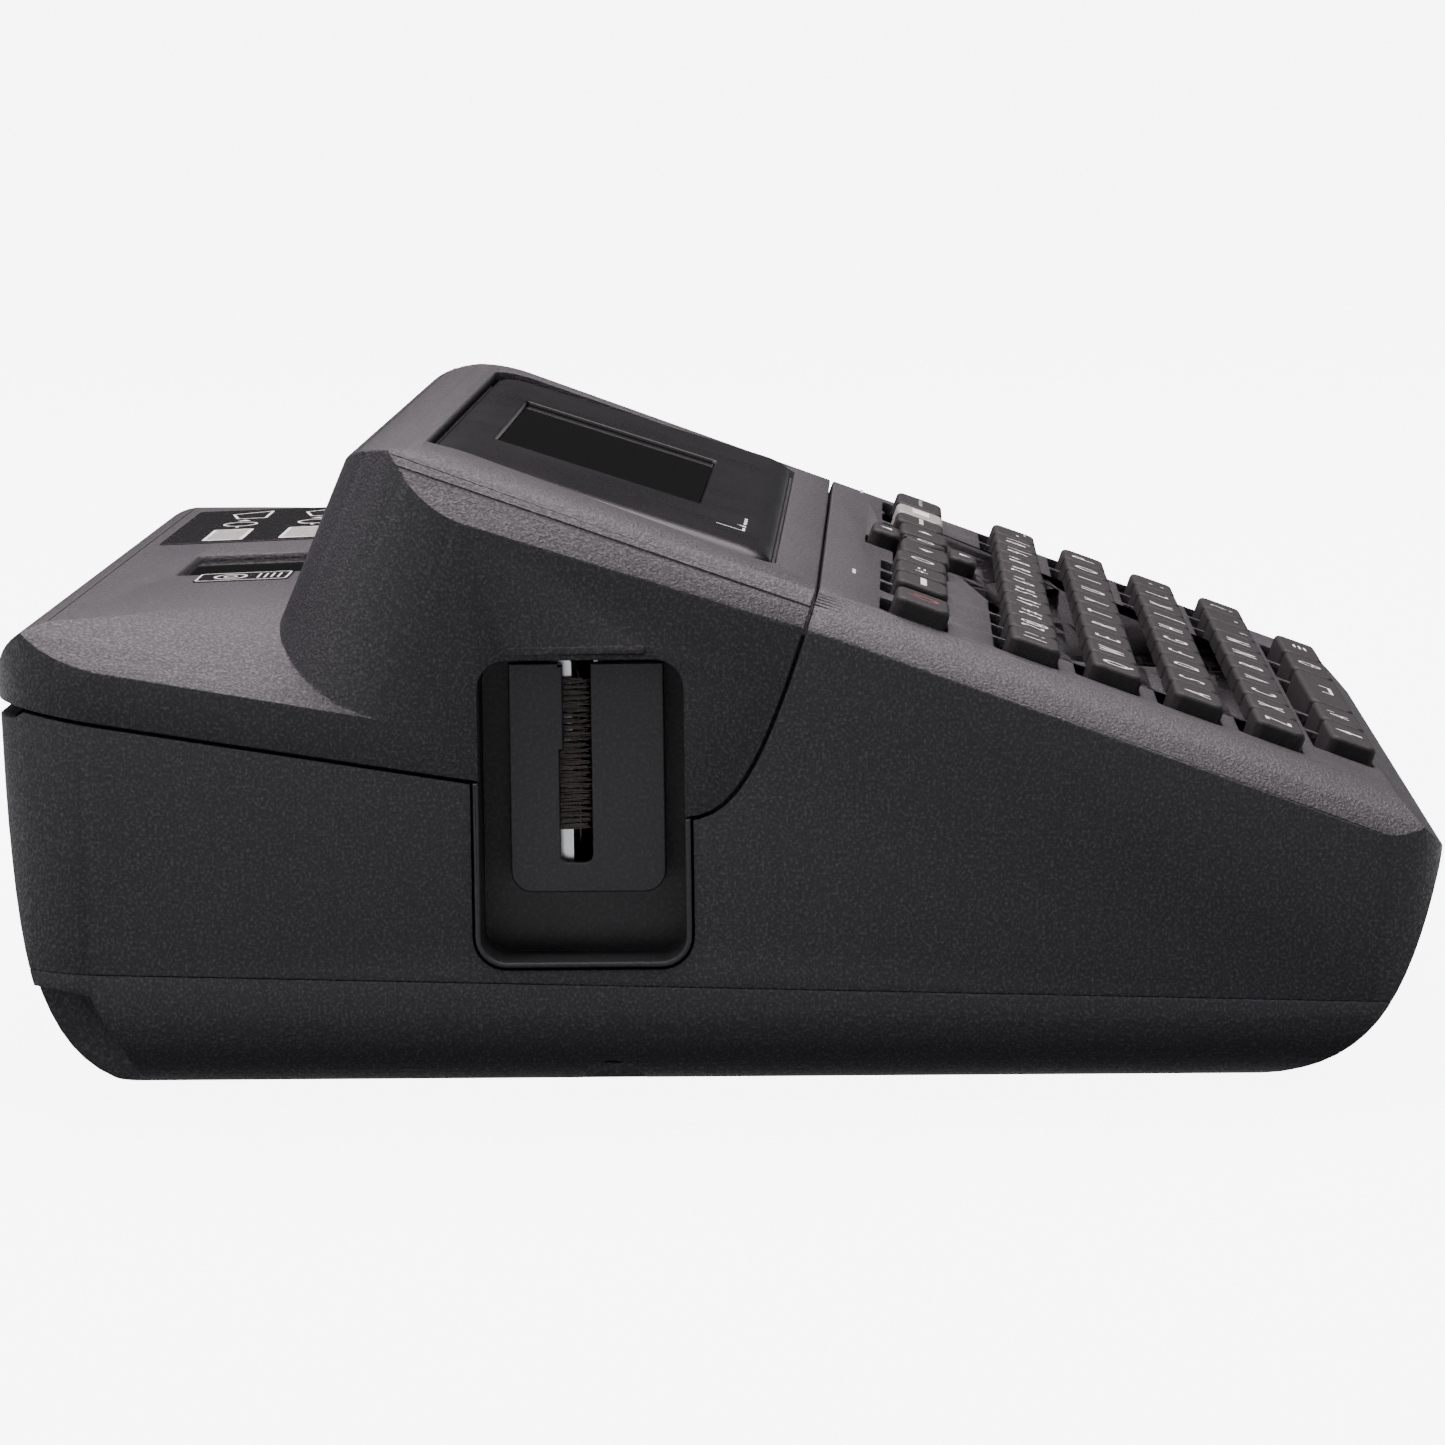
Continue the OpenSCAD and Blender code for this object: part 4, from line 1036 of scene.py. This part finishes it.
foot = {"radius": 6, "round": 0.7, "seat": 0.8}
pads = []
for x, y in feet():
    rings = [[(px, py, low + foot["seat"]) for px, py in arc(x, y, foot["radius"], 0, 350, 35)]]
    for i in range(4):
        a = math.radians(30 * i)
        ring = arc(x, y, foot["radius"] - foot["round"] * (1 - math.cos(a)), 0, 350, 35)
        rings.append([(px, py, foot["round"] * (1 - math.sin(a))) for px, py in ring])
    pads.append(loft(rings))
finishPiece(gather(pads), "rubberFeet", "housing", ["rubber_feet"], "foot_rubber", smooth=40)
screw = {"head": 2.8, "slotLong": 1.8, "slotWide": 0.35, "slotTop": 1.2, "shank": 1.2, "end": 24}
screws = []
for x, y in spots():
    head = rod(x, y, low + 0.2, low + 2.2, screw["head"])
    for dx, dy in ((screw["slotLong"], screw["slotWide"]), (screw["slotWide"], screw["slotLong"])):
        cut(head, block((x - dx, y - dy, low - 1), (x + dx, y + dy, low + screw["slotTop"])))
    screws += [head, rod(x, y, low + 2.25, screw["end"], screw["shank"], n=16)]
shown = gather(screws)
soften(shown, lambda edge, p: 0.15 if p.z < low + 0.4 else 0, 0.15)
finishPiece(shown, "caseScrews", "housing", ["case_screws"], "plated_steel")
print("underside made")

# Printed marks on the case
top = labelSize["thick"] + 0.01
labelRows = (8.5, 20.5)
art = []
for y in labelRows:
    art.append(mark(roundBox(23, 41, y - 3.2, y + 3.2, 0.6), rearDeckFrame, top))
    art += ringMark(50, y, 3.4, 2.6, 0.4, rearDeckFrame, top)
    art += [line((44.5, y), (46, y), 0.5, rearDeckFrame, top)]
    art += arrowMarks(56.2, y, 1, 0, 1.2, rearDeckFrame, top)
    art.append(line((60, y - 3), (72, y - 3), 0.45, rearDeckFrame, top))
    art.append(line((60, y + 1.5), (68, y + 3), 0.45, rearDeckFrame, top))
    art.append(line((60, y - 3), (60, y + 1.5), 0.45, rearDeckFrame, top))
    art.append(line((68, y + 3), (72, y - 3), 0.45, rearDeckFrame, top))
finishMarks(art, "labelArt", "cover", whiteInk, "label_vinyl")
hatch = []
for y in labelRows:
    hatch += [line((24 + i * 1.5, y - 2.6), (25 + i * 1.5, y + 2.6), 0.5, rearDeckFrame, top + 0.03)
              for i in range(11)]
finishMarks(hatch, "labelHatch", "cover", finishes["label_vinyl"], "label_vinyl")
outline = roundBox(-41.6, -31.4, 3.9, 17.1, 0.9)
pairs = list(zip(outline, outline[1:] + outline[:1]))
art = [line(a, b, 0.3, rearDeckFrame, top) for a, b in pairs if (Vector(a) - Vector(b)).length > 0.05]
art += ringMark(-36.5, 12.4, 3.2, 2.3, 0.4, rearDeckFrame, top)
art += ringMark(-36.5, 12.4, 1.2, 0.9, 0.3, rearDeckFrame, top, 12)
art += [line((-39.6, 8.2 - i), (-33.4, 8.2 - i), 0.28, rearDeckFrame, top) for i in range(4)]
finishMarks(art, "stickerArt", "cover", whiteInk, "label_vinyl")
art = []
for x, s in ((84, -20.5), (-49, -20.2)):
    art.append(line((x - 3, s), (x - 0.6, s), 0.5, deckFrame, 0.01))
    art.append(line((x, s), (x + 2.4, s), 0.5, deckFrame, 0.01))
finishMarks(art, "deckMarks", "housing", whiteInk, "charcoal_abs")
art = [line((-58, -3.5), (-58, 0.5), 0.4, bezelFrame, 0.01),
       line((-58, -3.5), (-54, -3.5), 0.4, bezelFrame, 0.01)]
art += arrowMarks(-51.5, -3.2, 0, 1, 0.9, bezelFrame, 0.01)
art += [line((-48.5 + i * 2.4, -3.5), (-47 + i * 2.4, -3.5), 0.45, bezelFrame, 0.01) for i in range(4)]
finishMarks(art, "bezelMarks", "cover", whiteInk, "bezel_abs")
print("marks made")
bpy.data.objects.remove(skin)

# Inside, seen with the cover open
cassette = {"x": (-56, 30), "y": (16, 78), "low": 58.5, "high": 60.5, "window": (-24, 24, 27, 69)}
lid = softSlab(*cassette["x"], *cassette["y"], cassette["low"], cassette["high"], 2.5, 0.6)
cut(lid, prism(roundBox(*cassette["window"], 3), cassette["high"] - 0.5, 70))
cut(lid, rod(0, 48, 50, 70, 4.2), prism(roundBox(-50, -30, 24, 34, 2), 50, 70))
ribs = [prism(roundBox(-52, -30, 60 + i * 3, 61.2 + i * 3, 0.5), cassette["high"] - 0.4, 70)
        for i in range(5)]
cut(lid, gather(ribs))
soften(lid, lambda edge, p: 0.15, 0.15)
finishPiece(lid, "cassetteLid", "housing", ["cassette_lid"], "cassette_plastic")
paper = softSlab(-22.5, 22.5, 52, 67.5, cassette["high"] - 0.5, cassette["high"] - 0.38, 1.5, 0.05)
finishPiece(paper, "cassetteLabel", "housing", [], "tape_film")
paperTop = cassette["high"] - 0.38
art = [mark(roundBox(-20, -8, 55, 65, 0.8), Matrix(), paperTop)]
art += [line((-5, 56 + i * 2.6), (19 - i * 3, 56 + i * 2.6), 0.8, Matrix(), paperTop) for i in range(4)]
finishMarks(art, "cassetteMarks", "housing", greyInk, "cassette_plastic")

boardFrame = bezelFrame @ Matrix.Translation((0, 0, -bezel["thickness"] - 7))
# Each chip: place x and y, width, depth and height
chipPlan = {
    "display": [(-30, 8, 14, 14, 1.6), (2, 10, 9, 12, 1.4), (22, 22, 6, 4, 1.8), (-52, 20, 8, 5, 2.2)],
    "main": [(-50, 52, 16, 16, 1.8), (-25, 60, 10, 8, 1.6), (-8, 68, 7, 7, 4), (6, 68, 7, 7, 4),
             (-58, 74, 12, 6, 5)],
    "mainTop": 9.6,
}
chips = [softSlab(x, x + w, y, y + d, -h, 0, 0.6, 0.2, boardFrame) for x, y, w, d, h in chipPlan["display"]]
finishPiece(gather(chips), "displayChips", "cover", [], "socket_plastic")
top = chipPlan["mainTop"]
boardChips = [softSlab(x, x + w, y, y + d, top, top + h, 0.6, 0.3) for x, y, w, d, h in chipPlan["main"]]
finishPiece(gather(boardChips), "boardChips", "housing", [], "socket_plastic")
print("inside made")

# Carried-over CAD parts
for part in frame["record"]["subparts"]:
    holder = frame["nodes"][part["node"]]
    holder.data.materials.clear()
    holder.data.materials.append(finishes[part["material_slot"]])
print("CAD parts finished")

# Floor and light
studio = {
    "panelPlace": (0.35, 0.0, 1.15), "panelSize": (1.7, 1.6), "panelPower": 48, "panelColour": "#fff1f5",
    # level of the surrounding light, from straight down to straight up
    "levels": [(0.0, 0.04), (0.28, 0.35), (0.42, 1.8), (0.46, 1.3), (0.52, 0.03), (0.7, 0.05), (0.85, 0.5),
               (1.0, 0.7)],
    "floorGlow": 7,
    "sidePlace": (-0.75, 1.3, 0.75), "sideSize": 0.9, "sidePower": 5,
}
light = bpy.data.lights.new("overheadPanel", "AREA")
light.shape = "RECTANGLE"
light.size, light.size_y = studio["panelSize"]
light.energy = studio["panelPower"]
light.color = linear(studio["panelColour"])[:3]
panel = bpy.data.objects.new("overheadPanel", light)
panel.location = studio["panelPlace"]
bpy.context.scene.collection.objects.link(panel)

sideLight = bpy.data.lights.new("sidePanel", "AREA")
sideLight.size = studio["sideSize"]
sideLight.energy = studio["sidePower"]
sidePanel = bpy.data.objects.new("sidePanel", sideLight)
sidePanel.location = studio["sidePlace"]
sidePanel.rotation_euler = Vector(studio["sidePlace"]).to_track_quat("Z", "Y").to_euler()
sidePanel.visible_camera = False
bpy.context.scene.collection.objects.link(sidePanel)

world = bpy.data.worlds.new("studioWorld")
world.use_nodes = True
bpy.context.scene.world = world
around = addNode(world.node_tree, "ShaderNodeTexCoord")
split = addNode(world.node_tree, "ShaderNodeSeparateXYZ", None, {"Vector": around.outputs["Generated"]})
height = addNode(world.node_tree, "ShaderNodeMapRange", {"From Min": -1.0}, {"Value": split.outputs["Z"]})
ramp = addNode(world.node_tree, "ShaderNodeValToRGB", None, {"Fac": height.outputs["Result"]})
stops = ramp.color_ramp.elements
for number, (position, level) in enumerate(studio["levels"]):
    stop = stops[0] if number == 0 else stops.new(position)
    stop.position = position
    stop.color = (level, level, level * 1.03, 1)
stops.remove(stops[len(stops) - 1])
world.node_tree.links.new(ramp.outputs["Color"], world.node_tree.nodes["Background"].inputs["Color"])

floor = prism(box(-60000, 60000, -60000, 60000), -2, 0)
floor.name = "floor"
floor.data.transform(Matrix.Scale(mm, 4))
# Matt rolled paint, lit so strongly that it shows as even white; it lights and mirrors in nothing
paint, tree, shader = startMaterial("floorPaintMatt", Roughness=0.7, Emission_Strength=studio["floorGlow"],
                                    Emission_Color=(1, 1, 1, 1))
shader.inputs["Base Color"].default_value = linear("#b4b4b4")
floor.data.materials.append(paint)
floor.visible_glossy = False
floor.visible_diffuse = False
print("studio set")

bpy.context.view_layer.update()
